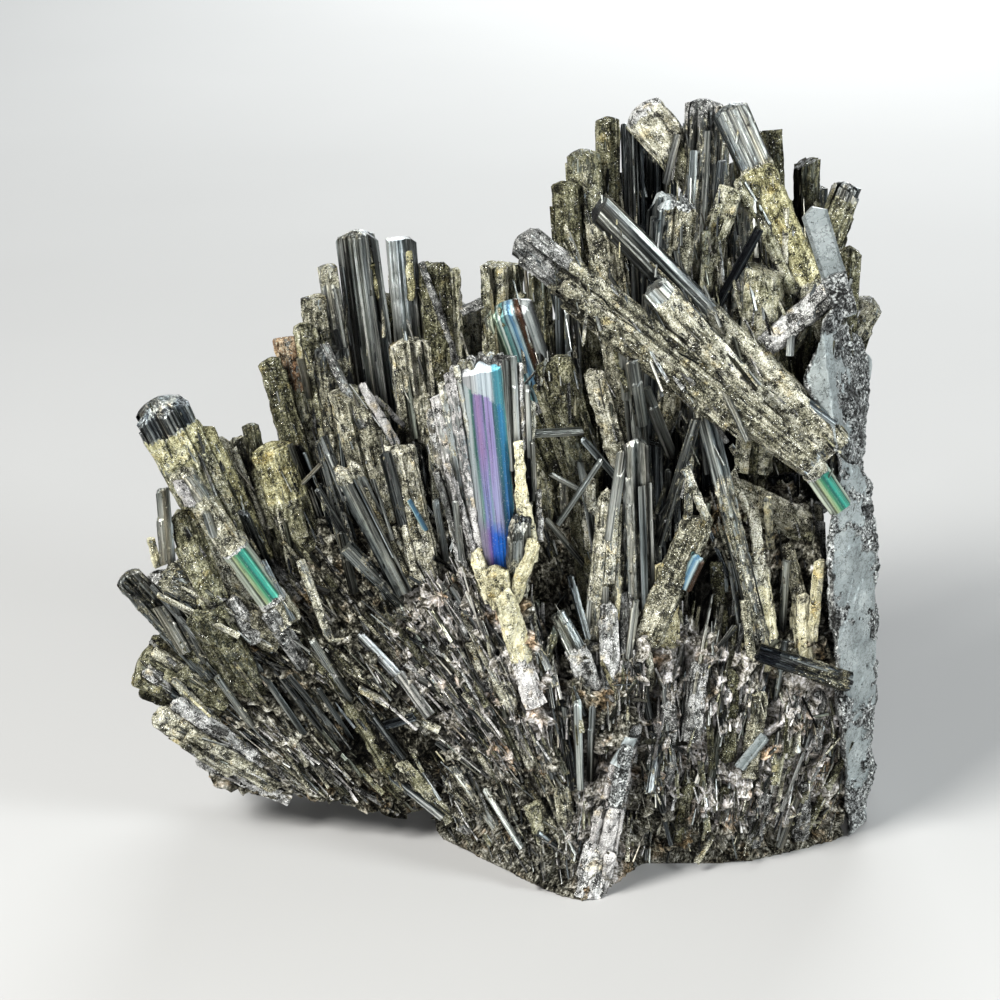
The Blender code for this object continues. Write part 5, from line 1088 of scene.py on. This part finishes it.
tree, face_piece = look_up()
LONE = [  # stand on what shows behind them: tip u, v, foot u, v, width, material, crust, end
    (500, 588, 524, 662, 25, CREAM, 1.0, "rough"), (516, 640, 536, 706, 22, PALEM, 0.9, "rough"), (632, 738, 610, 800, 24, PALEM, 0.9, "broken"),
    (622, 768, 603, 842, 28, GREY, 0.9, "broken"), (612, 806, 597, 876, 30, PALEM, 0.85, "broken"), (600, 836, 588, 896, 30, GREY, 0.85, "broken"), (612, 850, 598, 894, 16, PALEM, 0.9, "rough"),
    (632, 736, 616, 766, 15, CLEAVE, 0.0, "slant"), (640, 700, 630, 762, 14, GREY, 0.7, "rough"), (556, 612, 577, 652, 21, SILVER, 0.3, "front"), (574, 646, 592, 688, 23, GREY, 0.8, "broken"), (384, 726, 414, 717, 10, DARK, 0.25, "flat"),
    (408, 714, 436, 708, 14, OLIVE, 0.8, "rough"),
    (358, 634, 402, 680, 12, PALEM, 0.15, "point"), (398, 672, 430, 716, 14, PALEM, 0.1, "slant"), (252, 658, 304, 734, 8, SILVER, 0.1, "slant"),
    (270, 664, 334, 746, 9, METAL, 0.15, "slant"), (766, 735, 740, 768, 13, CLEAVE, 0.1, "slant"), (484, 788, 522, 848, 7, SILVER, 0.2, "point"),
    (423, 732, 429, 802, 6, METAL, 0.1, "flat"), (655, 560, 650, 640, 9, GREY, 0.5, "point"), (664, 560, 668, 646, 24, CREAM, 0.9, "rough"),
    (607, 600, 612, 700, 20, GREY, 0.6, "rough"), (626, 590, 632, 690, 18, GREY, 0.5, "broken"), (640, 610, 650, 700, 16, COAT, 0.7, "broken"),
    (590, 640, 603, 730, 18, GREY, 0.6, "broken"), (452, 600, 492, 700, 18, GREY, 0.6, "broken"), (432, 640, 480, 730, 20, GREY, 0.7, "broken"),
    (470, 640, 512, 742, 18, COAT, 0.7, "broken"), (500, 680, 538, 772, 20, COAT, 0.75, "broken"), (418, 600, 450, 668, 14, METAL, 0.4, "slant"),
    (172, 700, 262, 764, 20, GREY, 0.7, "broken"), (186, 734, 276, 786, 20, COAT, 0.8, "broken"), (196, 760, 290, 800, 16, GREY, 0.7, "broken"),
    (300, 700, 362, 776, 18, COAT, 0.8, "broken"), (346, 700, 404, 790, 20, OLIVE, 0.8, "broken"), (170, 690, 206, 716, 14, METAL, 0.3, "slant"),
    (228, 596, 258, 640, 18, GREY, 0.7, "rough"), (266, 610, 306, 664, 18, GREY, 0.6, "rough"), (294, 640, 352, 690, 20, OLIVE, 0.7, "rough"),
    (330, 652, 392, 690, 16, COAT, 0.7, "broken"), (176, 600, 206, 660, 18, METAL, 0.4, "rough"), (158, 606, 186, 652, 14, SILVER, 0.3, "slant"),
    (700, 660, 690, 740, 22, GREY, 0.7, "rough"), (730, 668, 724, 760, 24, OLIVE, 0.8, "rough"), (760, 690, 748, 776, 20, COAT, 0.8, "rough"),
    (668, 700, 664, 790, 20, GREY, 0.7, "rough"), (796, 700, 780, 780, 20, OLIVE, 0.8, "rough"), (820, 690, 812, 760, 16, GREY, 0.6, "rough"),
    (690, 770, 676, 840, 22, OLIVE, 0.8, "rough"), (726, 784, 712, 846, 22, OLIVE, 0.7, "rough"), (764, 790, 752, 846, 20, GREY, 0.7, "rough"),
    (806, 780, 800, 838, 18, GREY, 0.7, "rough"), (560, 784, 574, 862, 18, COAT, 0.7, "rough"), (530, 800, 556, 870, 18, OLIVE, 0.8, "rough"),
    (728, 486, 806, 524, 26, COAT, 0.8, "rough"), (744, 512, 812, 536, 18, OLIVE, 0.7, "broken"), (782, 470, 826, 508, 16, GREY, 0.7, "rough"), (752, 500, 760, 560, 12, COAT, 0.8, "slant"),
    (786, 540, 800, 600, 16, COAT, 0.7, "rough"), (820, 520, 822, 600, 14, GREY, 0.7, "broken"), (716, 560, 724, 640, 14, OLIVE, 0.7, "rough"),
    (142, 668, 210, 712, 16, GREY, 0.7, "rough"), (150, 650, 214, 690, 16, COAT, 0.8, "rough"), (138, 690, 200, 716, 14, OLIVE, 0.8, "rough"), (176, 640, 226, 690, 14, OLIVE, 0.8, "broken"),
    (400, 760, 452, 820, 16, OLIVE, 0.8, "broken"), (452, 764, 500, 832, 14, METAL, 0.4, "slant"), (560, 700, 574, 790, 12, METAL, 0.3, "flat"),
]
B = Buf()
for k, (u0, v0, y0, u1, v1, y1, w, mt, cr, end) in enumerate(DETAIL):
    if (u0, v0) in {(i[0], i[1]) for i in LONE}:
        continue
    if v1 > 395 and not (v0 < 480 and 520 < u0 < 610):
        y1 = depth_at(u1, v1, y1) + 0.15 * w * D
        y0 = min(y0, depth_at(u0, v0, 99.0) - 0.45 * w * D - 0.15)
        y0 = max(y0, y1 - 0.10 * math.hypot(u1 - u0, v1 - v0) - 1.5)
    y0, y1 = settle(u0, v0, y0, u1, v1, y1, w)
    crystal(B, P(u0, v0, y0), P(u1, v1, y1), w * D, w * D, 0.55 + 0.35 * ((k * 37) % 10) / 10, (k * 53) % 60 - 30, term=end, laths=max(3, int(w / 3)), groove=0.07,
            crust=cr, seed=700 + k, mat=mt)
for k, (u0, v0, u1, v1, w, mt, cr, end) in enumerate(LONE):
    y1 = [y for y in (depth_at(u1 + (u0 - u1) * q, v1 + (v0 - v1) * q, None) for q in (0, 0.15, 0.3, 0.45, 0.6, 0.8)) if y is not None][0] + 0.20 * w * D
    y0 = min(depth_at(u0, v0, y1) - 0.30 * w * D, y1 + 3.0)
    y0 = max(y0, y1 - 0.07 * math.hypot(u1 - u0, v1 - v0) - 1.0)
    if mt in (SILVER, DARK, CLEAVE) or cr < 0.2:      # these show over their whole length
        out = max(y0 + (y1 - y0) * q - depth_at(u0 + (u1 - u0) * q, v0 + (v1 - v0) * q, 99.0) for q in (0.1, 0.25, 0.4, 0.55, 0.7, 0.85))
        out = min(max(out + 0.15 * w * D, 0.0), 3.2)
        y0, y1 = y0 - out, y1 - out
    y0, y1 = settle(u0, v0, y0, u1, v1, y1, w)
    crystal(B, P(u0, v0, y0), P(u1, v1, y1), w * D, w * 1.1 * D, 0.6, (k * 53) % 50 - 25, term=end, laths=max(3, int(w / 3)), groove=0.10, crust=cr, seed=900 + k, mat=mt)
crystal(B, P(800, 448, 9.2), P(840, 507, 11.5), 28 * D, 26 * D, 0.7, 0, term="slant", laths=6, groove=0.05, crust=[(0, 0.42, 0.9)], seed=990, outline=FLAT,
        mat=[(0, 0.42, COAT), (0.42, 1, GREENM)])
for k, (u0, v0, u1, v1, w, y) in enumerate([(640, 128, 646, 300, 34, 44.5), (664, 140, 668, 300, 30, 43.5), (652, 150, 652, 320, 22, 42.5), (690, 120, 690, 300, 26, 43)]):
    crystal(B, P(u0, v0, y), P(u1, v1, y - 1.5), w * D, w * D, 0.8, 20 * k, term="broken", laths=6, crust=0.25, seed=995 + k, mat=DARK, fine=False)
pieces["small_crystals"] = B


# --------------------------------------------------------------- many small rods
def rods(B, tip, foot, w, share, crust, shade, rng, mat, sides=6, taper=0.85, slope=0.5):
    """Small prisms, all at once: uneven sections, narrowing from part way up, slanted broken ends."""
    N = len(tip)
    d = tip - foot
    L = np.linalg.norm(d, axis=1)
    ax = d / L[:, None]
    ref = VIEW[None] + rng.normal(0, 0.5, (N, 3))
    side = np.cross(ax, ref)
    side /= np.linalg.norm(side, axis=1)[:, None]
    face = np.cross(side, ax)
    ang = (np.arange(sides)[None] + rng.uniform(-0.3, 0.3, (N, sides))) / sides * 2 * math.pi
    rad = rng.uniform(0.75, 1.0, (N, sides)) * 0.5 * w[:, None]
    x, y = np.cos(ang) * rad, np.sin(ang) * rad * share[:, None]
    cut = rng.uniform(0, 2 * math.pi, N)
    sl = rng.uniform(0.1, 1.0, N) * slope
    lean = (x * np.cos(cut)[:, None] + y * np.sin(cut)[:, None]) * sl[:, None] + rng.uniform(-0.12, 0.12, (N, sides)) * w[:, None]
    rings = [(0.0, 1.0, 0.0), (0.55, 1.0, 0.0), (1.0, taper, 1.0)]
    vs, locs = [], []
    for t, k, tilt in rings:
        tt = t + (rng.uniform(-0.15, 0.15, N) if 0 < t < 1 else 0.0)
        along = np.atleast_1d(tt)[..., None] * L[:, None] + lean * tilt
        along = np.broadcast_to(along, (N, sides))
        vs.append(foot[:, None] + ax[:, None] * along[..., None] + side[:, None] * (x * k)[..., None] + face[:, None] * (y * k)[..., None])
        locs.append(np.stack([x * k, y * k, along], -1))
    v = np.stack(vs, 1).reshape(N, -1, 3)
    loc = np.stack(locs, 1).reshape(N, -1, 3)
    i = np.arange(sides)
    j = (i + 1) % sides
    q = np.concatenate([np.stack([r * sides + i, r * sides + j, (r + 1) * sides + j, (r + 1) * sides + i], 1) for r in range(len(rings) - 1)])
    top = (len(rings) - 1) * sides
    t1 = np.stack([np.full(sides - 2, top), top + i[1:-1], top + i[2:]], 1)
    t0 = np.stack([np.zeros(sides - 2, int), i[2:], i[1:-1]], 1)
    t = np.concatenate([t1, t0])
    # side x axis x face: outward order
    hand = np.sum(np.cross(side, face) * ax, 1)[0]
    if hand < 0:
        q, t = q[:, ::-1], t[:, ::-1]
    nv = v.shape[1]
    base = (np.arange(N) * nv)[:, None, None]
    q = (q[None] + base).reshape(-1, 4)
    t = (t[None] + base).reshape(-1, 3)
    par = np.stack([np.repeat(crust, nv), np.repeat(shade, nv), np.repeat(rng.random(N), nv)], 1)
    v = v.reshape(-1, 3)
    v[:, 2] = np.maximum(v[:, 2], 0.03)
    B.add(v, q, t, loc.reshape(-1, 3), par, (np.repeat(mat, len(q) // N), np.repeat(mat, len(t) // N)))


# which way the needles point on the sheet: u, v, angle from the right, counter-clockwise
ANCHORS = np.array([
    (165, 450, 116), (200, 540, 127), (150, 600, 130), (230, 610, 152), (200, 700, 148), (170, 730, 150), (280, 740, 125), (340, 700, 131), (260, 770, 150), (330, 790, 135),
    (290, 500, 105), (240, 500, 110), (330, 560, 130), (400, 560, 118), (450, 620, 123), (420, 680, 142), (520, 660, 107), (470, 780, 130), (560, 640, 100),
    (600, 560, 116), (640, 560, 92), (660, 520, 62), (720, 520, 106), (770, 560, 95), (810, 560, 100), (800, 660, 120), (700, 660, 80), (640, 720, 95),
    (600, 840, 85), (700, 760, 85), (800, 780, 70), (560, 850, 140), (300, 400, 110), (360, 300, 97), (410, 300, 94), (440, 310, 104), (400, 400, 105),
    (360, 430, 115), (450, 350, 105), (510, 300, 95), (570, 320, 95), (620, 300, 112), (600, 230, 95), (650, 180, 90), (700, 160, 90), (760, 180, 95),
    (800, 220, 95), (845, 210, 65), (760, 300, 105), (830, 320, 60), (640, 400, 105), (700, 350, 138), (760, 400, 138), (820, 450, 130), (860, 300, 70), (870, 600, 92)], float)
AX = np.stack([np.cos(np.radians(ANCHORS[:, 2])), np.sin(np.radians(ANCHORS[:, 2]))], 1)


def grain_way(p, view_side):
    """Direction of growth at points: from the anchors where the front shows, from the fan centre elsewhere."""
    way = p - FAN
    way = way / np.linalg.norm(way, axis=1)[:, None]
    way = way + A(0, 0, 0.35)
    way = way / np.linalg.norm(way, axis=1)[:, None]
    if view_side:
        u, v, d = sheet(p)
        wt = 1.0 / (30.0 + (u[:, None] - ANCHORS[None, :, 0]) ** 2 + (v[:, None] - ANCHORS[None, :, 1]) ** 2) ** 1.7
        a = wt @ AX
        a /= np.linalg.norm(a, axis=1)[:, None]
        dep = (way @ VIEW) * 0.6
        way = RIGHT[None] * a[:, :1] + UPS[None] * a[:, 1:] + VIEW[None] * dep[:, None]
        way /= np.linalg.norm(way, axis=1)[:, None]
    return way


names = list(pieces)
tree, face_piece = look_up()


def cast(origins, ways):
    """Rays into the whole object: hit points, normals, piece numbers."""
    out = []
    for o, w in zip(origins, ways):
        hit, nrm, idx, dist_ = tree.ray_cast(Vector(o), Vector(w))
        if hit is not None:
            out.append((*hit, *nrm, face_piece[idx]))
    return np.array(out).reshape(-1, 7)


RNG = np.random.default_rng(20260)


def front_rays(step):
    u, v = np.meshgrid(np.arange(100, 900, step), np.arange(90, 910, step))
    u = u.ravel() + RNG.uniform(-0.5, 0.5, u.size) * step
    v = v.ravel() + RNG.uniform(-0.5, 0.5, v.size) * step
    way = np.array([sight(a, b) for a, b in zip(u, v)])
    return cast(np.repeat(EYE_POS[None], len(way), 0), way)


def side_rays(way, step):
    way = unit(way)
    a = unit(np.cross(way, A(0.01, 0.02, 1.0)))
    b = np.cross(way, a)
    c = A(0, 36, 50)
    s, t = np.meshgrid(np.arange(-70, 70, step), np.arange(-70, 70, step))
    s = s.ravel() + RNG.uniform(-0.5, 0.5, s.size) * step
    t = t.ravel() + RNG.uniform(-0.5, 0.5, t.size) * step
    o = c + a * s[:, None] + b * t[:, None] - way * 120
    return cast(o, np.repeat(way[None], len(o), 0))


lo, hi = np.array(CAD_BOX[0]) * 1000 + SHIFT - 1.2, np.array(CAD_BOX[1]) * 1000 + SHIFT + 1.2
lo[2] = 0.03
ROOTI, WALLI, BLADEI = names.index("root_mass"), names.index("right_wall"), names.index("iridescent_blade")
CLEAN = {names.index(n) for n in ("back_left_square", "striated_rod_left", "cleaved_slab", "dark_lying_rod")}


def sprinkle(B, hits, view_side, width, length, chance_of, mats, share=(0.35, 0.9), raise_=0.12, crust_p=0.6, sides=6, away=None, source=None, spread=0.13):
    """Rods lying along the growth direction, feet sunk into what carries them."""
    if not len(hits):
        return
    p, nrm, pi = hits[:, :3], hits[:, 3:6], hits[:, 6].astype(int)
    keep = RNG.random(len(p)) < chance_of(p, pi)
    if view_side:                      # the outline stays that of the crystals, and the hollows stay open
        keep &= -(nrm @ VIEW) > 0.22
        keep &= (hollow(p, np.repeat(-VIEW[None], len(p), 0)) < 0.7) | (RNG.random(len(p)) < 0.15)
    p, nrm, pi = p[keep], nrm[keep], pi[keep]
    n = len(p)
    way = grain_way(p, view_side)
    if source is not None:             # a fan of fibres that spreads from a place on the sheet
        u_, v_, d_ = sheet(p)
        du, dv = u_ - source[0], source[1] - v_
        ln_ = np.hypot(du, dv)
        way = RIGHT[None] * (du / ln_)[:, None] + UPS[None] * (dv / ln_)[:, None] + VIEW[None] * 0.15
    way = way + RNG.normal(0, spread, (n, 3))
    way /= np.linalg.norm(way, axis=1)[:, None]
    flat = nrm * 0.35 - VIEW[None] * 0.65 if view_side else nrm
    flat /= np.linalg.norm(flat, axis=1)[:, None]
    dn = np.sum(way * flat, 1)
    way = way - flat * (dn * 0.9 - raise_ * RNG.uniform(0, 1.6, n))[:, None]
    way /= np.linalg.norm(way, axis=1)[:, None]
    w = np.exp(RNG.uniform(math.log(width[0]), math.log(width[1]), n))
    ln = np.exp(RNG.uniform(math.log(length[0]), math.log(length[1]), n))
    ln = np.maximum(ln, w * 2.5)
    foot = p - way * (ln * RNG.uniform(0.3, 0.8, n))[:, None] - flat * (w * RNG.uniform(0.1, 0.6, n) + 0.15)[:, None]
    tip = foot + way * ln[:, None]
    ok = np.all((tip > lo) & (tip < hi) & (foot > lo) & (foot < hi), 1)
    if view_side:                      # the crystals that show best stay uncovered
        for part in (0.1, 0.5, 0.9):
            u_, v_, d_ = sheet(foot + way * (ln * part)[:, None])
            for u0, v0, u1, v1, wd in SHOWN:
                du, dv = u1 - u0, v1 - v0
                t_ = np.clip(((u_ - u0) * du + (v_ - v0) * dv) / (du * du + dv * dv), 0, 1)
                ok &= (np.hypot(u_ - u0 - t_ * du, v_ - v0 - t_ * dv) > wd * 0.5 + 2) | (RNG.random(n) < 0.04)
    for i_ in range(n):                # an end that shows against the air is left out, apart from a few
        if not ok[i_]:
            continue
        if foot[i_][2] < 1.5 or tip[i_][2] < 1.5:
            ok[i_] = False
            continue
        for back in ([unit(tip[i_] - EYE_POS)] if away is None else [unit(tip[i_] - EYE_POS), unit(away)]):
            for end_ in (tip[i_], foot[i_], 0.5 * (tip[i_] + foot[i_])):
                if tree.ray_cast(Vector(end_ - back * 150), Vector(back))[0] is None:
                    ok[i_] = False
    for i_ in np.flatnonzero(ok):      # and none hangs in the air
        ok[i_] = min(apart(foot[i_] + (tip[i_] - foot[i_]) * q) for q in (0.0, 0.25, 0.5, 0.75, 1.0)) < 0.35 * w[i_] + 0.04
    if not ok.any():
        return
    tip, foot, w, n = tip[ok], foot[ok], w[ok], int(ok.sum())
    mat = RNG.choice([m_ for m_, c_ in mats], p=[c_ for m_, c_ in mats], size=n)
    crust = np.where(RNG.random(n) < crust_p, RNG.uniform(0.4, 1.0, n), RNG.uniform(0, 0.25, n))
    crust = np.where(mat == SILVER, crust * 0.3, crust)
    dim = np.where(RNG.random(n) < 0.3, RNG.uniform(0.3, 0.95, n), 0.0)
    rods(B, tip, foot, w, RNG.uniform(*share, n), crust, dim, RNG, mat, sides=sides)


SHOWN = [(i[0], i[1], i[2], i[3], i[4]) for i in LONE if i[5] in (CREAM, SILVER, DARK, CLEAVE, PALEM)]
SHOWN += [(i[0], i[1], i[3], i[4], i[6]) for i in DETAIL if i[7] in (SILVER, STRIPE, CREAM) and i[4] > 430]
SHOWN += [(494, 562, 503, 606, 34), (535, 538, 510, 606, 16), (518, 516, 515, 592, 28), (479, 400, 503, 570, 50), (176, 470, 270, 604, 30), (757, 652, 850, 683, 22),
          (812, 470, 840, 507, 30), (344, 462, 408, 590, 32), (700, 517, 646, 640, 30), (752, 548, 764, 650, 28), (800, 590, 804, 650, 24), (636, 438, 642, 600, 28)]


def area_chance(root, wall, other, blade=0.0):
    def f(p, pi):
        c = np.full(len(p), other)
        c[pi == ROOTI] = root
        c[pi == WALLI] = wall
        c[pi == BLADEI] = blade
        c[np.isin(pi, list(CLEAN))] = other * 0.15
        return c
    return f


DULL = [(OLIVE, 0.30), (COAT, 0.26), (GREY, 0.22), (METAL, 0.08), (DARK, 0.08), (CREAM, 0.04), (SILVER, 0.02)]
BRIGHT = [(OLIVE, 0.18), (COAT, 0.22), (GREY, 0.24), (METAL, 0.14), (DARK, 0.08), (CREAM, 0.05), (SILVER, 0.09)]
hits_a = front_rays(6.5)
B = Buf()
sprinkle(B, hits_a, True, (0.6, 1.7), (5, 15), area_chance(0.09, 0.0, 0.016), DULL, sides=7, raise_=0.02, spread=0.10)
sprinkle(B, front_rays(5.5), True, (0.25, 0.8), (2.5, 8), area_chance(0.20, 0.0, 0.05, 0.0), DULL, sides=6, raise_=0.03, spread=0.12)
pieces["front_laths"] = B
B = Buf()
sprinkle(B, front_rays(5.5), True, (0.14, 0.45), (2.0, 8.5), area_chance(0.16, 0.0, 0.07, 0.005), BRIGHT, sides=5, raise_=0.05, spread=0.16)
pieces["front_needles"] = B


def in_oval(hits, u0, v0, ru, rv, turn):
    u, v, d_ = sheet(hits[:, :3])
    r = math.radians(turn)
    x, y = u - u0, v - v0
    a_, b_ = x * math.cos(r) + y * math.sin(r), y * math.cos(r) - x * math.sin(r)
    return hits[(np.hypot(a_ / ru, b_ / rv) < 1) & (hits[:, 6] == ROOTI)]


PALE = [(GREY, 0.20), (PALEM, 0.46), (COAT, 0.20), (SILVER, 0.03), (METAL, 0.04), (OLIVE, 0.07)]
MIXED = [(GREY, 0.26), (PALEM, 0.12), (COAT, 0.26), (SILVER, 0.03), (METAL, 0.07), (OLIVE, 0.26)]
CHALKY = [(GREY, 0.28), (PALEM, 0.30), (COAT, 0.24), (OLIVE, 0.14), (METAL, 0.04)]
FANS = [  # oval on the sheet, place the fibres spread from, share kept, spread, sizes
    ((478, 660, 80, 125, -28), (575, 850), 0.85, 0.07, (0.14, 0.50), (3.0, 9.0), PALE), ((240, 748, 110, 46, 22), (440, 880), 0.7, 0.06, (0.16, 0.6), (3.5, 10.0), PALE),
    ((195, 622, 66, 60, 0), (340, 735), 0.5, 0.09, (0.16, 0.7), (3.0, 9.0), BRIGHT), ((330, 660, 90, 60, 35), (470, 800), 0.5, 0.08, (0.16, 0.7), (3.0, 10.0), MIXED),
    ((632, 650, 56, 90, 4), (612, 980), 0.6, 0.08, (0.16, 0.6), (3.0, 9.0), PALE), ((600, 830, 50, 70, 0), (594, 1000), 0.5, 0.10, (0.14, 0.4), (2.0, 5.0), PALE),
    ((745, 740, 120, 80, 0), (700, 1080), 0.55, 0.14, (0.16, 0.60), (2.0, 6.0), CHALKY), ((500, 830, 90, 50, 25), (560, 1000), 0.5, 0.10, (0.16, 0.5), (2.0, 6.0), MIXED)]
B = Buf()
hits_f = front_rays(4.6)
for oval, src, share_, spr, wd, lg, mt_ in FANS:
    sprinkle(B, in_oval(hits_f, *oval), True, wd, lg, lambda p, pi, c=share_: np.full(len(p), c), mt_, sides=5, raise_=0.05, source=src, spread=spr, crust_p=0.75)
pieces["front_fibres"] = B
B = Buf()
for way in (A(0, -1, 0.1), A(1, -0.3, -0.1), A(-1, -0.2, -0.1), A(0.0, 0.15, -1), A(0.7, -0.7, -0.3), A(-0.7, -0.7, -0.3)):
    hits_b = side_rays(way, 1.9)
    hits_b = hits_b[-(hits_b[:, 3:6] @ unit(way)) > 0.3]
    sprinkle(B, hits_b, False, (0.5, 1.7), (4, 13), area_chance(0.34, 0.02, 0.02), DULL, sides=6, raise_=0.03, away=way)
    sprinkle(B, hits_b, False, (0.16, 0.6), (2.5, 8), area_chance(0.60, 0.04, 0.06), BRIGHT, sides=5, raise_=0.10, away=way)
pieces["rear_laths"] = B


def shelter(rays=5, reach=6.0):
    """How far every point is shut in by its neighbours: the places between crystals get painted shade, darker the more
    they are shut in.
    """
    near, own_ = look_up()
    rng = np.random.default_rng(5)
    for nm_, b_ in pieces.items():
        v = np.concatenate(b_.v)
        f = ([np.concatenate(b_.q)[:, [0, 1, 2]], np.concatenate(b_.q)[:, [0, 2, 3]]] if b_.q else []) + ([np.concatenate(b_.t)] if b_.t else [])
        f = np.concatenate(f)
        fn = np.cross(v[f[:, 1]] - v[f[:, 0]], v[f[:, 2]] - v[f[:, 0]])
        vn = np.stack([sum(np.bincount(f[:, j_], fn[:, i_], len(v)) for j_ in range(3)) for i_ in range(3)], 1)
        vn /= np.linalg.norm(vn, axis=1)[:, None] + 1e-12
        shut = np.zeros(len(v))
        start = (v + vn * 0.10).tolist()
        for r_ in range(rays):
            d = rng.normal(0, 1, v.shape)
            d = vn * 1.05 + d / np.linalg.norm(d, axis=1)[:, None]
            d = (d / np.linalg.norm(d, axis=1)[:, None]).tolist()
            for i_, (o_, w_) in enumerate(zip(start, d)):
                far = near.ray_cast(o_, w_, reach)[3]
                if far is not None:
                    shut[i_] += 1.0 - 0.5 * far / reach
        shut /= rays
        a_, c_ = np.concatenate([f[:, 0], f[:, 1], f[:, 2]]), np.concatenate([f[:, 1], f[:, 2], f[:, 0]])
        mean = (np.bincount(a_, shut[c_], len(v)) + np.bincount(c_, shut[a_], len(v))) / np.maximum(np.bincount(a_, minlength=len(v)) + np.bincount(c_, minlength=len(v)), 1)
        shut = 0.5 * shut + 0.5 * mean
        # painted shade: shut-in points darkened as ambient occlusion would darken them, stored in par.y
        painted_occlusion = np.clip((shut - 0.34) / 0.42, 0, 1) * (0.55 if nm_ == "root_mass" else 0.95)
        par = np.concatenate(b_.par)
        par[:, 1] = 1 - (1 - np.clip(par[:, 1], 0, 1)) * (1 - painted_occlusion)
        b_.par = [par]


shelter()

# ------------------------------------------------------------- pieces, the nodes they replace hidden
total = 0
for nm, b in pieces.items():
    ob = b.build("shown_" + nm)
    if nm in NODES:
        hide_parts(nm)
    total += b.tris()
    print("PIECE", nm, b.tris())
print("TRIS", total)


# ---------------------------------------------------------- floor, lights, camera
def area(name, at, aim, size, power, colour=(1, 1, 1), size_y=None):
    li = bpy.data.lights.new(name, "AREA")
    li.energy, li.size, li.color = power, size, colour
    li.shape = "RECTANGLE"
    li.size_y = size_y or size
    ob = bpy.data.objects.new(name, li)
    ob.location = at
    ob.rotation_euler = (Vector(aim) - Vector(at)).to_track_quat("-Z", "Y").to_euler()
    bpy.context.scene.collection.objects.link(ob)
    return ob


me = bpy.data.meshes.new("floor")
s_ = 3.0
me.from_pydata([(-s_, -s_, 0), (s_, -s_, 0), (s_, s_, 0), (-s_, s_, 0)], [], [(0, 1, 2, 3)])
floor = bpy.data.objects.new("floor", me)
bpy.context.scene.collection.objects.link(floor)
k = Net("floor_paper")
co_ = k.node("ShaderNodeTexCoord").outputs["Object"]
k.link(k.ramp(k.noise(co_, 6.0, 3, 0.5), [(0.3, (0.325, 0.325, 0.32)), (0.7, (0.345, 0.345, 0.34))]), k.bsdf.inputs["Base Color"])
k.bsdf.inputs["Roughness"].default_value = 0.9
me.materials.append(k.mat)

world = bpy.data.worlds.new("studio")
bpy.context.scene.world = world
world.use_nodes = True
bg = world.node_tree.nodes["Background"]
bg.inputs[0].default_value = (0.84, 0.88, 0.92, 1)
bg.inputs[1].default_value = 0.04
area("key", (-0.40, -0.42, 0.52), (0, 0, 0.05), 0.26, 13.0, (1.0, 0.985, 0.96))
area("side", (0.55, -0.34, 0.30), (0, 0, 0.05), 0.20, 5.5, (0.94, 0.98, 1.0))
area("back", (0.12, 0.72, 0.36), (0, 0, 0.05), 0.40, 7.0, (0.95, 0.98, 1.0))
area("front", (0.0, -0.80, 0.22), (0, 0, 0.05), 0.22, 3.0, (1, 1, 1))

bpy.context.scene.view_settings.view_transform = "Standard"
cam = bpy.data.cameras.new("camera")
cam.type, cam.sensor_width, cam.lens, cam.clip_start, cam.clip_end = "PERSP", 36.0, 120.0, 0.01, 20.0
cob = bpy.data.objects.new("camera", cam)
cob.location = ((EYE_POS - SHIFT) * 0.001).tolist()
cob.rotation_euler = (math.radians(70.0), 0.0, 0.0)
bpy.context.scene.collection.objects.link(cob)
bpy.context.scene.camera = cob

bpy.context.view_layer.update()
